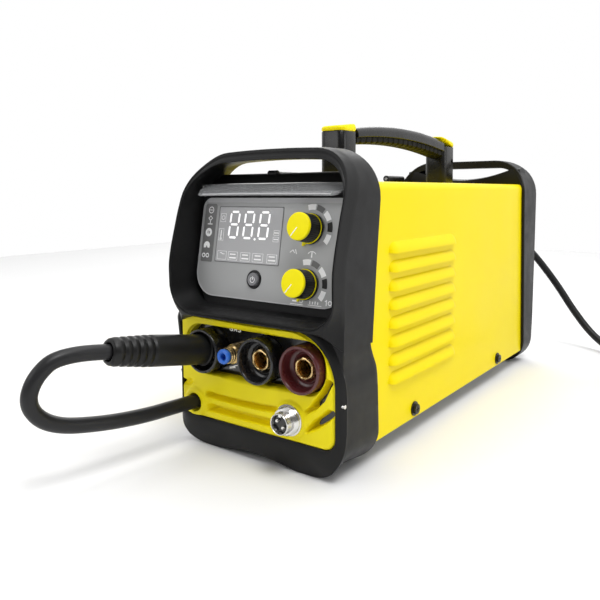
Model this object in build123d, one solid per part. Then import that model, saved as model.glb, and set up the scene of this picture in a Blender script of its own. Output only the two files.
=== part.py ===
"""Portable welding inverter: louvred steel casing between two moulded bumpers, with a tilted
control panel, three power sockets, a gas outlet, a carrying handle, a wire-feed compartment
behind a side door, a polarity lead and a mains lead.

Millimetres, +Z up, front of the machine towards -Y. Origin: middle of the footprint, on the floor.
"""
from build123d import *
from math import cos, pi, radians, sin, tan
import os

os.makedirs("parts", exist_ok=True)

# ------------------------------------------------------------------ driving dimensions
LENGTH = 445.0             # front of the trigger socket to the rear bumper's rim
FRONT, REAR = -LENGTH / 2, LENGTH / 2
BUMPER_W = 160.0           # over both bumpers, the widest part of the body
HALF = BUMPER_W / 2
GAP = 0.3                  # clearance between neighbouring pieces
RUN = 0.06                 # radial running clearance of pins and shafts

CASE_HALF = 76.3           # casing, outside
CASE_Z0, CASE_Z1 = 15.5, 209.8
CASE_Y0, CASE_Y1 = -169.0, 196.0
SHEET = 1.2                # sheet steel
CASE_R = 7.0               # bend radius of the roof edges

LOUVRES, LOUVRE_PITCH, LOUVRE_TOP = 8, 14.46, 155.1
LOUVRE_Y0, LOUVRE_Y1 = -135.6, -12.6
LOUVRE_H, LOUVRE_OUT = 9.0, 3.6

HOOD_TOP, HOOD_BOTTOM = 233.5, 105.0      # front hood, outside
HOOD_WALL = 3.0
INSERT_FACE = -208.5                      # front face of the yellow connector insert
INSERT_HALF, INSERT_Z0, INSERT_Z1 = 73.9, 24.0, 104.6
PLATE_FACE = -199.0                       # face of the connector plate behind it

TILT = 10.0                               # control panel leans back
PANEL_Y, PANEL_Z = -184.6, 160.0          # a point on the panel's face
KNOB_X, KNOB_V = 38.5, (15.2, -25.4)      # knob axes, in panel coordinates
KNOB_R, KNOB_LEN = 10.5, 14.5
BUTTON_X, BUTTON_V, BUTTON_R = -11.0, -25.4, 5.2
DISPLAY = (-54.5, 11.5, -13.7, 31.0)      # left, right, bottom, top in panel coordinates

SOCKET_X = {"left": -47.0, "middle": 8.0, "right": 48.0}
SOCKET_Z, SOCKET_R, SOCKET_BORE = 78.3, 17.4, 6.0
SOCKET_MOUTH = -214.0
GAS_X, GAS_Z = -20.8, 78.5
GAS_HEX = 7.7
TRIGGER_X, TRIGGER_Z = 37.5, 40.5
LEAD_X, LEAD_Z, LEAD_D = -58.0, 35.0, 11.0
LEAD_BORE = 6.6

HANDLE_HALF = 12.3
FRONT_POST = (-100.5, -74.7, 254.8)       # front face, rear face, top of the post
REAR_POST = (108.6, 137.8, 252.5)
GRIP_TOP = 265.0

REAR_TOP = 238.5                          # top of the rear bumper's arch
REAR_PANEL_Y = 197.0
FAN_X, FAN_Z, FAN_SIZE, FAN_DEPTH = 14.0, 74.0, 92.0, 25.0
GLAND_X, GLAND_Z = 30.0, 150.0
SWITCH_X, SWITCH_Z = -38.0, 172.0
MAINS_D = 9.0
MAINS_LENGTH = 2000.0

DIVIDER_X = -8.0
HINGE_X, HINGE_Z, HINGE_R = -75.0, 218.0, 4.0
HINGE_Y = (-90.0, 134.0)                  # front ends of the two hinges
HINGE_LEN = 42.0
DOOR = (-126.0, 166.0, 32.0, 207.0)       # front, rear, bottom, top
SPOOL_Y, SPOOL_Z, SPOOL_R, SPOOL_W = 52.0, 118.0, 50.0, 45.0


# ------------------------------------------------------------------ building helpers
def block(x0, x1, y0, y1, z0, z1):
    """A box from its six faces."""
    return Pos((x0 + x1) / 2, (y0 + y1) / 2, (z0 + z1) / 2) * Box(x1 - x0, y1 - y0, z1 - z0)


def rod_x(y, z, r, x0, x1):
    return Pos((x0 + x1) / 2, y, z) * Rot(0, 90, 0) * Cylinder(r, x1 - x0)


def rod_y(x, z, r, y0, y1):
    return Pos(x, (y0 + y1) / 2, z) * Rot(90, 0, 0) * Cylinder(r, y1 - y0)


def rod_z(x, y, r, z0, z1):
    return Pos(x, y, (z0 + z1) / 2) * Cylinder(r, z1 - z0)


def along_y(outline, y0, y1):
    """Extrude an outline drawn in X and Z from y0 to y1."""
    plane = Plane(origin=(0, y1, 0), x_dir=(1, 0, 0), z_dir=(0, -1, 0))
    return extrude(plane * outline, amount=y1 - y0, dir=plane.z_dir)


def along_x(outline, x0, x1):
    """Extrude an outline drawn in Y and Z from x0 to x1."""
    plane = Plane(origin=(x0, 0, 0), x_dir=(0, 1, 0), z_dir=(1, 0, 0))
    return extrude(plane * outline, amount=x1 - x0, dir=plane.z_dir)


def poly(*points):
    return Polygon(*points, align=None)


def rounded(x0, x1, z0, z1, r):
    """A rectangle with one radius on all four corners."""
    return Pos((x0 + x1) / 2, (z0 + z1) / 2) * RectangleRounded(x1 - x0, z1 - z0, r)


def two_radii(x0, x1, z0, z1, low, high):
    """A rectangle with one radius on its lower corners and another on its upper ones."""
    lower = rounded(x0, x1, z0, z1 - high, low) + Pos((x0 + x1) / 2, (z0 + z1) / 2) * Rectangle(
        x1 - x0, z1 - z0 - low - high)
    upper = rounded(x0, x1, z0 + low, z1, high)
    return lower + upper


PANEL = Plane(origin=(0, PANEL_Y, PANEL_Z), x_dir=(1, 0, 0),
              z_dir=(0, -cos(radians(TILT)), sin(radians(TILT))))


def on_panel(shape):
    """Place a shape drawn on the panel: x across, y up the panel, z outwards."""
    return PANEL * shape


def disc(x, v, r, w0, w1):
    """A round piece on the panel, from depth w0 to w1."""
    return Pos(x, v, (w0 + w1) / 2) * Cylinder(r, w1 - w0)


def slab(x0, x1, v0, v1, w0, w1):
    return Pos((x0 + x1) / 2, (v0 + v1) / 2, (w0 + w1) / 2) * Box(x1 - x0, v1 - v0, w1 - w0)


# ------------------------------------------------------------------ sheet-metal casing
def casing_outline(grow=0.0):
    """The casing from the front, with its two rounded roof edges."""
    return two_radii(-CASE_HALF - grow, CASE_HALF + grow, CASE_Z0 - grow, CASE_Z1 + grow,
                     0.2, CASE_R + grow)


def casing_cover():
    """Roof and both sides, bent from one sheet, louvred on the right, open for the door."""
    outer = casing_outline()
    inner = two_radii(-CASE_HALF + SHEET, CASE_HALF - SHEET, -5, CASE_Z1 - SHEET, 0.2, CASE_R - SHEET)
    cover = along_y(outer, CASE_Y0, CASE_Y1) - along_y(inner, CASE_Y0 - 1, CASE_Y1 + 1)
    skin = CASE_HALF - SHEET / 2
    for i in range(LOUVRES):
        z = LOUVRE_TOP - i * LOUVRE_PITCH
        hood = poly((skin, z), (CASE_HALF + LOUVRE_OUT, z), (CASE_HALF, z + LOUVRE_H), (skin, z + LOUVRE_H))
        throat = poly((CASE_HALF - 3, z - 0.5), (CASE_HALF + LOUVRE_OUT - SHEET, z - 0.5),
                      (CASE_HALF - 0.6, z + LOUVRE_H - 2.4), (CASE_HALF - 3, z + LOUVRE_H - 2.4))
        cover += along_y(hood, LOUVRE_Y0, LOUVRE_Y1)
        cover -= along_y(throat, LOUVRE_Y0 + 2, LOUVRE_Y1 - 2)
    y0, y1, z0, z1 = DOOR
    cover -= block(-CASE_HALF - 2, -CASE_HALF + 4, y0 + 7, y1 - 7, z0 + 6, z1 - 7)
    for x, y in ((s * CASE_HALF, y) for s in (-1, 1) for y in SCREW_Y):
        cover -= rod_x(y, SCREW_Z, 2.1, x - 3, x + 3)
    return cover


SCREW_Y, SCREW_Z = (-91.3, 105.4), 23.3


def base_tray():
    """Floor of the machine, with upturned sides that take the casing screws."""
    x = CASE_HALF - SHEET - GAP
    tray = block(-x, x, CASE_Y0 + 3, REAR_PANEL_Y - 2, 16.0, 17.5)
    for s in (-1, 1):
        tray += block(min(s * x, s * (x - 1.5)), max(s * x, s * (x - 1.5)),
                      CASE_Y0 + 3, REAR_PANEL_Y - 2, 16.0, 32.0)
        for y in SCREW_Y:
            tray -= rod_x(y, SCREW_Z, 2.0, s * x - 4, s * x + 4)
    return tray


def casing_screws():
    """Four flange screws through the casing's lower edge into the tray."""
    screws = []
    for s in (-1, 1):
        for y in SCREW_Y:
            skin = s * CASE_HALF
            out1, out2, inner = skin + s * 1.0, skin + s * 3.4, skin - s * 7.0
            flange = rod_x(y, SCREW_Z, 6.0, min(skin, out1), max(skin, out1))
            head = rod_x(y, SCREW_Z, 4.2, min(skin, out2), max(skin, out2))
            shank = rod_x(y, SCREW_Z, 1.9, min(inner, skin), max(inner, skin))
            recess = block(min(skin + s * 2, out2 + s), max(skin + s * 2, out2 + s), y - 2.4, y + 2.4,
                           SCREW_Z - 0.5, SCREW_Z + 0.5)
            recess += block(min(skin + s * 2, out2 + s), max(skin + s * 2, out2 + s), y - 0.5, y + 0.5,
                            SCREW_Z - 2.4, SCREW_Z + 2.4)
            screws.append(flange + head + shank - recess)
    return Compound(screws)


def divider_wall():
    """Steel wall between the electronics and the wire compartment."""
    wall = block(DIVIDER_X - SHEET, DIVIDER_X, -150, 150, 17.8, 205)
    wall += block(DIVIDER_X - 16, DIVIDER_X, -150, 150, 17.8, 19.0)
    return wall - rod_x(SPOOL_Y, SPOOL_Z, 5.2, DIVIDER_X - 3, DIVIDER_X + 3)


# ------------------------------------------------------------------ bumpers
HOOD_SIDE = ((-203, 0), (-208, 9), (-209, 24), (-209, 100), (-215.5, 106), (-216, 150), (-205.5, 187),
             (-199, 204), (-187, 227), (-182, 234), (-155, 234), (-155, 198), (-166.4, 91),
             (-157.5, 75), (-155, 20), (-159, 0))


def insert_outline(grow=0.0):
    """Connector insert from the front: square at the upper left, large curve at the upper right."""
    left, right = -INSERT_HALF - grow, INSERT_HALF + grow
    low, high = INSERT_Z0 - grow, INSERT_Z1 + grow
    big = 38.0
    plate = rounded(left, right, low, high, 9.0) + rounded(left, 0, low + 20, high, 3.0)
    corner = Pos(right - big, high - big) * (Pos(big / 2, big / 2) * Rectangle(big + 2, big + 2))
    return plate - (corner - Pos(right - big, high - big) * Circle(big))


def front_bumper():
    """Moulded front frame: a hood round the control panel above a frame with two feet."""
    frame = along_y(two_radii(-HALF, HALF, 0, HOOD_TOP, 27, 36), INSERT_FACE, -140)
    hood = along_y(two_radii(-HALF + 0.7, HALF - 0.7, HOOD_BOTTOM, HOOD_TOP, 27, 36), -225, -200)
    body = (frame + hood) & along_x(poly(*HOOD_SIDE), -HALF - 1, HALF + 1)
    face_cut = on_panel(slab(-120, 120, -150, 150, 0, 90))
    mouth = along_y(two_radii(-HALF + HOOD_WALL, HALF - HOOD_WALL, HOOD_BOTTOM + 9, HOOD_TOP - 9, 22, 31),
                    -230, -150)
    body -= mouth & face_cut
    shelf = along_x(poly((-230, 200), (-177, 200), (-163, 217.3), (-161, 217.3), (-161, HOOD_TOP - 9),
                         (-230, HOOD_TOP - 9)), -73, 73)
    body -= shelf & along_y(two_radii(-73, 73, 150, HOOD_TOP - 9, 20, 27), -230, -150)
    body -= along_y(rounded(-52, 52, 213.5, HOOD_TOP - 9, 5), -230, -140)
    body -= along_y(casing_outline(GAP), CASE_Y0 - 2, -130)
    body -= along_y(rounded(-66, 66, 123, 193, 6), -200, -150)
    body -= along_y(insert_outline(GAP), -230, -150)
    for s in (-1, 1):
        body -= rod_x(SMALL_SCREW_Y, SMALL_SCREW_Z, 1.5, s * HALF - 4, s * HALF + 4)
    arch = Pos(0, -129.0) * Circle(134.5)
    return body - along_y(arch, -230, -140)


SMALL_SCREW_Y, SMALL_SCREW_Z = -203.0, 56.0


def bumper_screws():
    """Small screws set flush near the front edge of the bumper's sides."""
    return Compound([rod_x(SMALL_SCREW_Y, SMALL_SCREW_Z, 1.45, min(s * HALF, s * (HALF - 3.5)),
                           max(s * HALF, s * (HALF - 3.5))) for s in (-1, 1)])


REAR_SIDE = ((186, 0), (183.4, 40), (177, 195), (177, 205), (186, 226), (190, 239), (214, 239),
             (222.5, 226), (222.5, 191), (220.2, 119), (217, 47), (214.5, 28), (211, 0))


def rear_bumper():
    """Moulded rear frame with an arch over the roof and a recess for the rear panel."""
    body = along_y(two_radii(-HALF, HALF, 0, REAR_TOP, 27, 40), 170, 230)
    body &= along_x(poly(*REAR_SIDE), -HALF - 1, HALF + 1)
    body -= along_y(casing_outline(GAP), 160, REAR_PANEL_Y + 2)
    body -= along_y(two_radii(-72, 72, 20, 205, 12, 12), 160, 240)
    body -= along_y(two_radii(-75, 75, 13, 208.5, 14, 14), REAR_PANEL_Y + 5, 240)
    body -= along_y(rounded(-56, 56, 214.5, REAR_TOP - 8.5, 6), 160, 240)
    arch = Pos(0, -129.0) * Circle(134.5)
    return body - along_y(arch, 160, 240)


# ------------------------------------------------------------------ control panel
FASCIA = (-73.0, 73.0, -41.5, 38.0)


def control_fascia():
    """Tilted plastic panel with openings for the display, the button and the two shafts."""
    x0, x1, v0, v1 = FASCIA
    panel = extrude(two_radii(x0, x1, v0, v1, 20, 8), amount=1.6)
    for v in KNOB_V:
        panel -= disc(KNOB_X, v, 3.8, -1, 3)
    panel -= disc(BUTTON_X, BUTTON_V, 7.3, -1, 3)
    left, right, low, high = DISPLAY
    panel -= slab(left, right, low, high, -1, 3)
    return on_panel(panel)


def display_window():
    """Clear window set flush in the panel."""
    left, right, low, high = DISPLAY
    return on_panel(slab(left + 0.15, right - 0.15, low + 0.15, high - 0.15, 0.0, 1.5))


def control_board():
    """Circuit board behind the panel with the display block standing on it."""
    board = slab(-60, 60, -32, 30, -14.6, -13.0)
    for v in KNOB_V:
        board -= disc(KNOB_X, v, 4.2, -16, -12)
    left, right, low, high = DISPLAY
    return on_panel(board + slab(left + 2, right - 2, low + 2, high - 4, -13.0, -1.0))


def potentiometer(v):
    """Rotary control: can behind the board, threaded bush through the panel, plain shaft."""
    can = disc(KNOB_X, v, 8.0, -12.6, -3.5) - disc(KNOB_X, v, 3.0 + RUN, -14, -3)
    bush = disc(KNOB_X, v, 3.6, -3.5, 1.4) - disc(KNOB_X, v, 3.0 + RUN, -4, 3)
    return on_panel(can + bush)


def knob(v):
    """Black fluted knob with a skirt and the shaft that it turns."""
    body = disc(KNOB_X, v, KNOB_R, 2.0, 2.0 + KNOB_LEN) + disc(KNOB_X, v, KNOB_R + 1.0, 2.0, 4.6)
    body += disc(KNOB_X, v, 3.0, -11.5, 2.0)
    pointer = Pos(KNOB_X, v, 2.9) * Rot(0, 0, -112) * (Pos(KNOB_R + 1.6, 0, 0) * Box(4.0, 2.6, 1.4))
    return on_panel(body + pointer)


def knob_cap(v):
    """Yellow disc on the end of a knob."""
    top = 2.0 + KNOB_LEN
    cap = disc(KNOB_X, v, KNOB_R - 0.3, top, top + 2.0)
    rib = Pos(KNOB_X, v, top + 2.1) * Rot(0, 0, -112) * (Pos(KNOB_R / 2, 0, 0) * Box(KNOB_R - 2.5, 0.7, 0.4))
    return on_panel(cap + rib)


def button_bezel():
    """Ring round the mode button."""
    ring = disc(BUTTON_X, BUTTON_V, 7.2, -3.0, 2.6) - disc(BUTTON_X, BUTTON_V, BUTTON_R + 0.2, -4, 4)
    return on_panel(ring)


def mode_button():
    """Push button with a collar behind the bezel that keeps it in."""
    key = disc(BUTTON_X, BUTTON_V, BUTTON_R, -5.0, 4.0) + disc(BUTTON_X, BUTTON_V, 6.6, -5.6, -3.3)
    return on_panel(key)


def glare_visor():
    """Clear strip that stands forward over the top of the panel."""
    strip = two_radii(-70, 70, 0, 14.6, 0.5, 7)
    shape = Pos(0, -181.0, 209.3) * Rot(32, 0, 0) * Rot(180, 0, 0) * extrude(strip, amount=2.0)
    for side in (-1, 1):
        shape += Pos(side * 70.2, -181.6, 207.6) * Rot(0, 90, 0) * Cylinder(1.4, 5.0)
    return shape


# ------------------------------------------------------------------ connectors
def socket_holes(r, y0, y1):
    holes = rod_y(SOCKET_X["left"], SOCKET_Z, r, y0, y1)
    return holes + rod_y(SOCKET_X["middle"], SOCKET_Z, r, y0, y1) + rod_y(
        SOCKET_X["right"], SOCKET_Z, r, y0, y1)


def connector_insert():
    """Yellow moulding: a window for the sockets, ribs below it and bosses for the lead and plug."""
    face = along_y(insert_outline(), INSERT_FACE, PLATE_FACE - 0.0)
    face -= along_y(rounded(-67.5, 66.5, 60.5, 98.5, 17), -230, -190)
    face -= socket_holes(SOCKET_R + GAP, -230, -190)
    for z0, z1, vent0, vent1 in ((41.4, 44.8, 52.0, 62.0), (31.0, 35.4, 42.5, 47.5)):
        face -= along_y(rounded(-46, 24, z0, z1, 1.5), -230, -202.0)
        face -= along_y(rounded(61, 71, vent0, vent1, 1.5), -230, -190)
    face += rod_y(LEAD_X, LEAD_Z, 10.0, INSERT_FACE - 2.5, PLATE_FACE)
    face -= rod_y(LEAD_X, LEAD_Z, LEAD_BORE, -230, -190)
    face += rod_y(TRIGGER_X, TRIGGER_Z, 13.0, INSERT_FACE - 2.5, PLATE_FACE)
    face -= rod_y(TRIGGER_X, TRIGGER_Z, 8.0, -230, -190)
    return face


def connector_plate():
    """Black plate that carries the sockets and the gas outlet."""
    plate = along_y(insert_outline(-1.5), PLATE_FACE, PLATE_FACE + 2.5)
    plate -= socket_holes(11.0, -230, -190)
    plate -= rod_y(GAS_X, GAS_Z, 5.0, -230, -190)
    plate -= rod_y(TRIGGER_X, TRIGGER_Z, 9.0, -230, -190)
    return plate - rod_y(LEAD_X, LEAD_Z, LEAD_BORE, -230, -190)


def socket_shell(side):
    """Insulating cup of a power socket, with its stem through the plate."""
    x = SOCKET_X[side]
    cup = rod_y(x, SOCKET_Z, SOCKET_R, SOCKET_MOUTH, PLATE_FACE)
    cup -= rod_y(x, SOCKET_Z, SOCKET_R - 2.6, SOCKET_MOUTH - 1, PLATE_FACE - 3)
    cup += rod_y(x, SOCKET_Z, 10.8, PLATE_FACE - 3, PLATE_FACE + 12)
    return cup - rod_y(x, SOCKET_Z, 8.2, SOCKET_MOUTH - 1, PLATE_FACE + 20)


def socket_insert(side):
    """Hexagonal brass contact in the cup."""
    x = SOCKET_X[side]
    hexagon = Pos(x, SOCKET_Z) * Rot(0, 0, 30) * RegularPolygon(8.1, 6)
    contact = along_y(hexagon, PLATE_FACE - 6.5, PLATE_FACE - 3)
    contact += rod_y(x, SOCKET_Z, 8.1, PLATE_FACE - 3, PLATE_FACE + 22)
    return contact - rod_y(x, SOCKET_Z, SOCKET_BORE, PLATE_FACE - 8, PLATE_FACE + 18)


def gas_fitting_body():
    """Brass push-in coupling: hexagon, neck and a stem through the plate."""
    hexagon = Pos(GAS_X, GAS_Z) * Rot(0, 0, 30) * RegularPolygon(GAS_HEX, 6)
    body = along_y(hexagon, PLATE_FACE - 7.5, PLATE_FACE)
    body += rod_y(GAS_X, GAS_Z, 6.2, PLATE_FACE - 13.5, PLATE_FACE - 7.5)
    body += rod_y(GAS_X, GAS_Z, 4.9, PLATE_FACE, PLATE_FACE + 14)
    body -= rod_y(GAS_X, GAS_Z, 4.6, PLATE_FACE - 20, PLATE_FACE - 6)
    return body - rod_y(GAS_X, GAS_Z, 2.5, PLATE_FACE - 20, PLATE_FACE + 20)


def gas_fitting_collet():
    """Blue release collar that is pushed in to free the hose."""
    face = PLATE_FACE - 13.5
    collet = rod_y(GAS_X, GAS_Z, 5.7, face - 4.5, face - 1.4) + rod_y(
        GAS_X, GAS_Z, 4.6 - RUN, face - 1.4, face + 5.5)
    return collet - rod_y(GAS_X, GAS_Z, 2.6, face - 6, face + 7)


def trigger_socket_shell():
    """Threaded metal shell of the two-pin trigger socket, with its flange behind the boss."""
    shell = rod_y(TRIGGER_X, TRIGGER_Z, 7.9, FRONT, PLATE_FACE + 3)
    for i in range(6):
        y = FRONT + 1.5 + 1.5 * i
        shell -= rod_y(TRIGGER_X, TRIGGER_Z, 9.0, y, y + 0.5) - rod_y(TRIGGER_X, TRIGGER_Z, 7.4, y, y + 0.5)
    shell -= rod_y(TRIGGER_X, TRIGGER_Z, 6.6, FRONT - 1, PLATE_FACE + 5)
    return shell


def trigger_socket_insulator():
    """Black insulator with two contact pins."""
    core = rod_y(TRIGGER_X, TRIGGER_Z, 6.5, FRONT + 3.0, PLATE_FACE + 3)
    for dx in (-3.0, 3.0):
        core += rod_y(TRIGGER_X + dx, TRIGGER_Z, 1.0, FRONT + 0.6, FRONT + 3.0)
    return core


# ------------------------------------------------------------------ carrying handle
def post(front, rear, top):
    """Hollow moulded post standing on the roof."""
    outline = Pos(0, (front + rear) / 2) * RectangleRounded(2 * HANDLE_HALF, rear - front, 7)
    body = Pos(0, 0, CASE_Z1) * extrude(outline, amount=top - CASE_Z1)
    return body


def handle_front_post():
    front, rear, top = FRONT_POST
    return post(front, rear, top)


def handle_rear_post():
    front, rear, top = REAR_POST
    return post(front, rear, top) - rod_x(130.0, 236.0, 2.6, HANDLE_HALF - 3, HANDLE_HALF + 2)


def cap(front, rear, top, rise):
    """Yellow end cap, sloping with the grip."""
    side = poly((front, top), (rear, top), (rear, top + 4.2 + rise), (front + 1.5, top + 4.0))
    outline = Pos(0, (front + rear) / 2) * RectangleRounded(2 * HANDLE_HALF, rear - front, 7)
    column = Pos(0, 0, top) * extrude(outline, amount=20)
    return column & along_x(side, -20, 20)


def handle_cap_front():
    front, rear, top = FRONT_POST
    return cap(front, rear, top, 3.0)


def handle_cap_rear():
    front, rear, top = REAR_POST
    nose = front - 8.1
    side = poly((front + 0.4, top), (rear, top), (rear - 1.0, top + 4.7), (nose, top + 10.7),
                (nose, top + 8.4), (front + 0.4, top + 7.5))
    outline = Pos(0, (nose + rear) / 2) * RectangleRounded(2 * HANDLE_HALF, rear - nose, 7)
    column = Pos(0, 0, top) * extrude(outline, amount=20)
    return column & along_x(side, -20, 20)


def grip_arc(y0, z0, y1, z1, rise):
    """An arched line from one point to another in the handle's plane."""
    return ThreePointArc((y0, z0), ((y0 + y1) / 2, (z0 + z1) / 2 + rise), (y1, z1))


def grip_band(top, bottom):
    """Face between two arched lines, each given as start, end and rise."""
    upper = grip_arc(*top)
    lower = grip_arc(*bottom)
    ends = [Line(lower @ 0, upper @ 0), Line(upper @ 1, lower @ 1)]
    return make_face(Curve() + [upper, lower] + ends)


GRIP_FROM = FRONT_POST[1] + 0.2
GRIP_TO = REAR_POST[0] - 0.2


def handle_grip():
    """Upper shell of the grip, arched between the posts and over the rear one's front edge."""
    band = grip_band((GRIP_FROM, 258.5, GRIP_TO, 258.6, 6.4), (GRIP_FROM, 250.0, GRIP_TO, 246.5, 5.5))
    shell = along_x(band, -HANDLE_HALF, HANDLE_HALF)
    edges = shell.edges().filter_by(lambda e: abs(abs(e.center().X) - HANDLE_HALF) < 0.1
                                    and e.length > 100 and e.center().Z > 255)
    return fillet(edges, 6.0)


def handle_underside():
    """Softer ribbed strip under the grip."""
    band = grip_band((GRIP_FROM, 249.8, GRIP_TO, 246.3, 5.5), (GRIP_FROM, 243.8, GRIP_TO, 240.0, 5.5))
    strip = along_x(band, -HANDLE_HALF + 2.0, HANDLE_HALF - 2.0)
    for i in range(9):
        y = GRIP_FROM + 16 + 18.5 * i
        strip -= Pos(0, y, 241.0) * Rot(25, 0, 0) * Box(40, 1.4, 9)
    return strip


# ------------------------------------------------------------------ rear panel
def rear_panel():
    """Steel plate closing the rear, with an opening for the fan, the switch and the gland."""
    plate = along_y(rounded(-74.5, 74.5, 17.8, 207.5, 4), REAR_PANEL_Y - 1.5, REAR_PANEL_Y)
    plate -= rod_y(FAN_X, FAN_Z, 42.0, REAR_PANEL_Y - 5, REAR_PANEL_Y + 5)
    plate -= rod_y(GLAND_X, GLAND_Z, 8.2, REAR_PANEL_Y - 5, REAR_PANEL_Y + 5)
    plate -= block(SWITCH_X - 13.2, SWITCH_X + 13.2, REAR_PANEL_Y - 5, REAR_PANEL_Y + 5,
                   SWITCH_Z - 10.2, SWITCH_Z + 10.2)
    return plate - rod_y(GAS_IN_X, GAS_IN_Z, 5.2, REAR_PANEL_Y - 5, REAR_PANEL_Y + 5)


GAS_IN_X, GAS_IN_Z = -48.0, 128.0


def gas_inlet():
    """Barbed hose nipple for the gas bottle."""
    y = REAR_PANEL_Y
    hexagon = Pos(GAS_IN_X, GAS_IN_Z) * RegularPolygon(8.5, 6)
    body = along_y(hexagon, y, y + 5) + rod_y(GAS_IN_X, GAS_IN_Z, 5.0, y - 14, y)
    body += rod_y(GAS_IN_X, GAS_IN_Z, 4.0, y + 5, y + 21)
    for i in range(3):
        barb = Pos(GAS_IN_X, y + 9.5 + 4.5 * i, GAS_IN_Z) * Rot(-90, 0, 0) * Cone(5.0, 3.9, 4.0)
        body += barb
    return body - rod_y(GAS_IN_X, GAS_IN_Z, 2.2, y - 20, y + 30)


def fan_frame():
    """Square fan housing with its motor hub held on four struts."""
    y1 = REAR_PANEL_Y - 1.5
    y0 = y1 - FAN_DEPTH
    half = FAN_SIZE / 2
    frame = along_y(rounded(FAN_X - half, FAN_X + half, FAN_Z - half, FAN_Z + half, 5), y0, y1)
    frame -= rod_y(FAN_X, FAN_Z, 43.5, y0 - 1, y1 + 1)
    spokes = block(FAN_X - 44, FAN_X + 44, y0, y0 + 3, FAN_Z - 2, FAN_Z + 2)
    spokes += block(FAN_X - 2, FAN_X + 2, y0, y0 + 3, FAN_Z - 44, FAN_Z + 44)
    hub = rod_y(FAN_X, FAN_Z, 18, y0, y0 + 4) + rod_y(FAN_X, FAN_Z, 1.5, y0 + 4, y0 + 18)
    return frame + spokes + hub


def fan_rotor():
    """Hub with seven pitched blades."""
    y1 = REAR_PANEL_Y - 1.5
    y0 = y1 - FAN_DEPTH + 4.6
    rotor = rod_y(FAN_X, FAN_Z, 17, y0, y1 - 2.0)
    for i in range(7):
        blade = Pos(0, 0, 28.5) * Rot(0, 0, 38) * Box(15, 1.6, 26)
        rotor += Pos(FAN_X, (y0 + y1 - 2.0) / 2, FAN_Z) * Rot(0, i * 360 / 7, 0) * blade
    return rotor - rod_y(FAN_X, FAN_Z, 1.5 + RUN, y0 - 1, y0 + 14.2)


def fan_grille():
    """Round wire guard outside the fan."""
    y = REAR_PANEL_Y
    grille = None
    for r in (12, 20, 28, 36, 44):
        ring = Pos(FAN_X, y + 1.6, FAN_Z) * Rot(90, 0, 0) * Torus(r, 0.8)
        grille = ring if grille is None else grille + ring
    for angle in (45, 135, 225, 315):
        spoke = Pos(FAN_X, y + 0.9, FAN_Z) * Rot(0, angle, 0) * Pos(29, 0, 0) * Box(38, 1.6, 1.6)
        grille += spoke
    return grille


def switch_housing():
    """Snap-in frame of the mains switch."""
    y = REAR_PANEL_Y
    frame = block(SWITCH_X - 15.5, SWITCH_X + 15.5, y, y + 2.2, SWITCH_Z - 12.5, SWITCH_Z + 12.5)
    frame += block(SWITCH_X - 13, SWITCH_X + 13, y - 22, y, SWITCH_Z - 10, SWITCH_Z + 10)
    frame -= block(SWITCH_X - 11.5, SWITCH_X + 11.5, y - 14, y + 3, SWITCH_Z - 8.5, SWITCH_Z + 8.5)
    return frame


def switch_rocker():
    """Rocker on a pin along Z, tilted to its off side."""
    y = REAR_PANEL_Y
    side = poly((-10.6, -1.0), (-10.6, 3.4), (0, 1.6), (10.6, 3.4), (10.6, -1.0), (4, -7), (-4, -7))
    body = extrude(side, amount=8.2, both=True)
    return Pos(SWITCH_X, y, SWITCH_Z) * Rot(0, 0, 9) * body


def mains_gland():
    """Cable gland: lock nut, body hexagon and domed cap nut."""
    y = REAR_PANEL_Y
    hexagon = Pos(GLAND_X, GLAND_Z) * RegularPolygon(12.5, 6)
    body = along_y(hexagon, y, y + 6) + rod_y(GLAND_X, GLAND_Z, 8.0, y - 10, y)
    body += rod_y(GLAND_X, GLAND_Z, 10.5, y + 6, y + 14)
    body += Pos(GLAND_X, y + 21.5, GLAND_Z) * Rot(-90, 0, 0) * Cone(10.5, 6.4, 15)
    return body - rod_y(GLAND_X, GLAND_Z, MAINS_D / 2 + 0.2, y - 12, y + 40)


# ------------------------------------------------------------------ inside
def main_board():
    """Power board over the tray, with its capacitors and the main transformer."""
    board = block(4, 70, -140, 150, 26.0, 27.6)
    for i in range(3):
        board += rod_z(54, -20 + 34 * i, 14, 27.6, 68)
    return board + block(12, 60, -130, -80, 27.6, 74) + rod_z(36, -105, 22, 74, 82)


def heatsink():
    """Finned aluminium extrusion over the power stage."""
    sink = block(8, 34, -60, 100, 30, 34)
    for i in range(5):
        sink += block(8 + 6 * i, 10 + 6 * i, -60, 100, 34, 92)
    return sink


def wire_spool():
    """Small wire spool: two flanges on a hub."""
    x1 = DIVIDER_X - SHEET - 8.0
    x0 = x1 - SPOOL_W
    spool = rod_x(SPOOL_Y, SPOOL_Z, 41.0, x0, x1)
    for a, b in ((x0, x0 + 2.5), (x1 - 2.5, x1)):
        spool += rod_x(SPOOL_Y, SPOOL_Z, SPOOL_R, a, b)
    return spool - rod_x(SPOOL_Y, SPOOL_Z, 8.0 + RUN, x0 - 1, x1 + 1)


def spool_spindle():
    """Spindle bolted to the divider, with a retaining nut outside the spool."""
    x1 = DIVIDER_X - SHEET
    x0 = x1 - 8.0 - SPOOL_W
    spindle = rod_x(SPOOL_Y, SPOOL_Z, 14.0, x1 - 7.5, x1) + rod_x(SPOOL_Y, SPOOL_Z, 8.0, x0 - 6.0, x1)
    spindle += rod_x(SPOOL_Y, SPOOL_Z, 5.0, x1, x1 + 8)
    return spindle + rod_x(SPOOL_Y, SPOOL_Z, 13.0, x0 - 6.0, x0 - 0.5)


FEED_Y, FEED_Z = -70.0, 118.0


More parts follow.
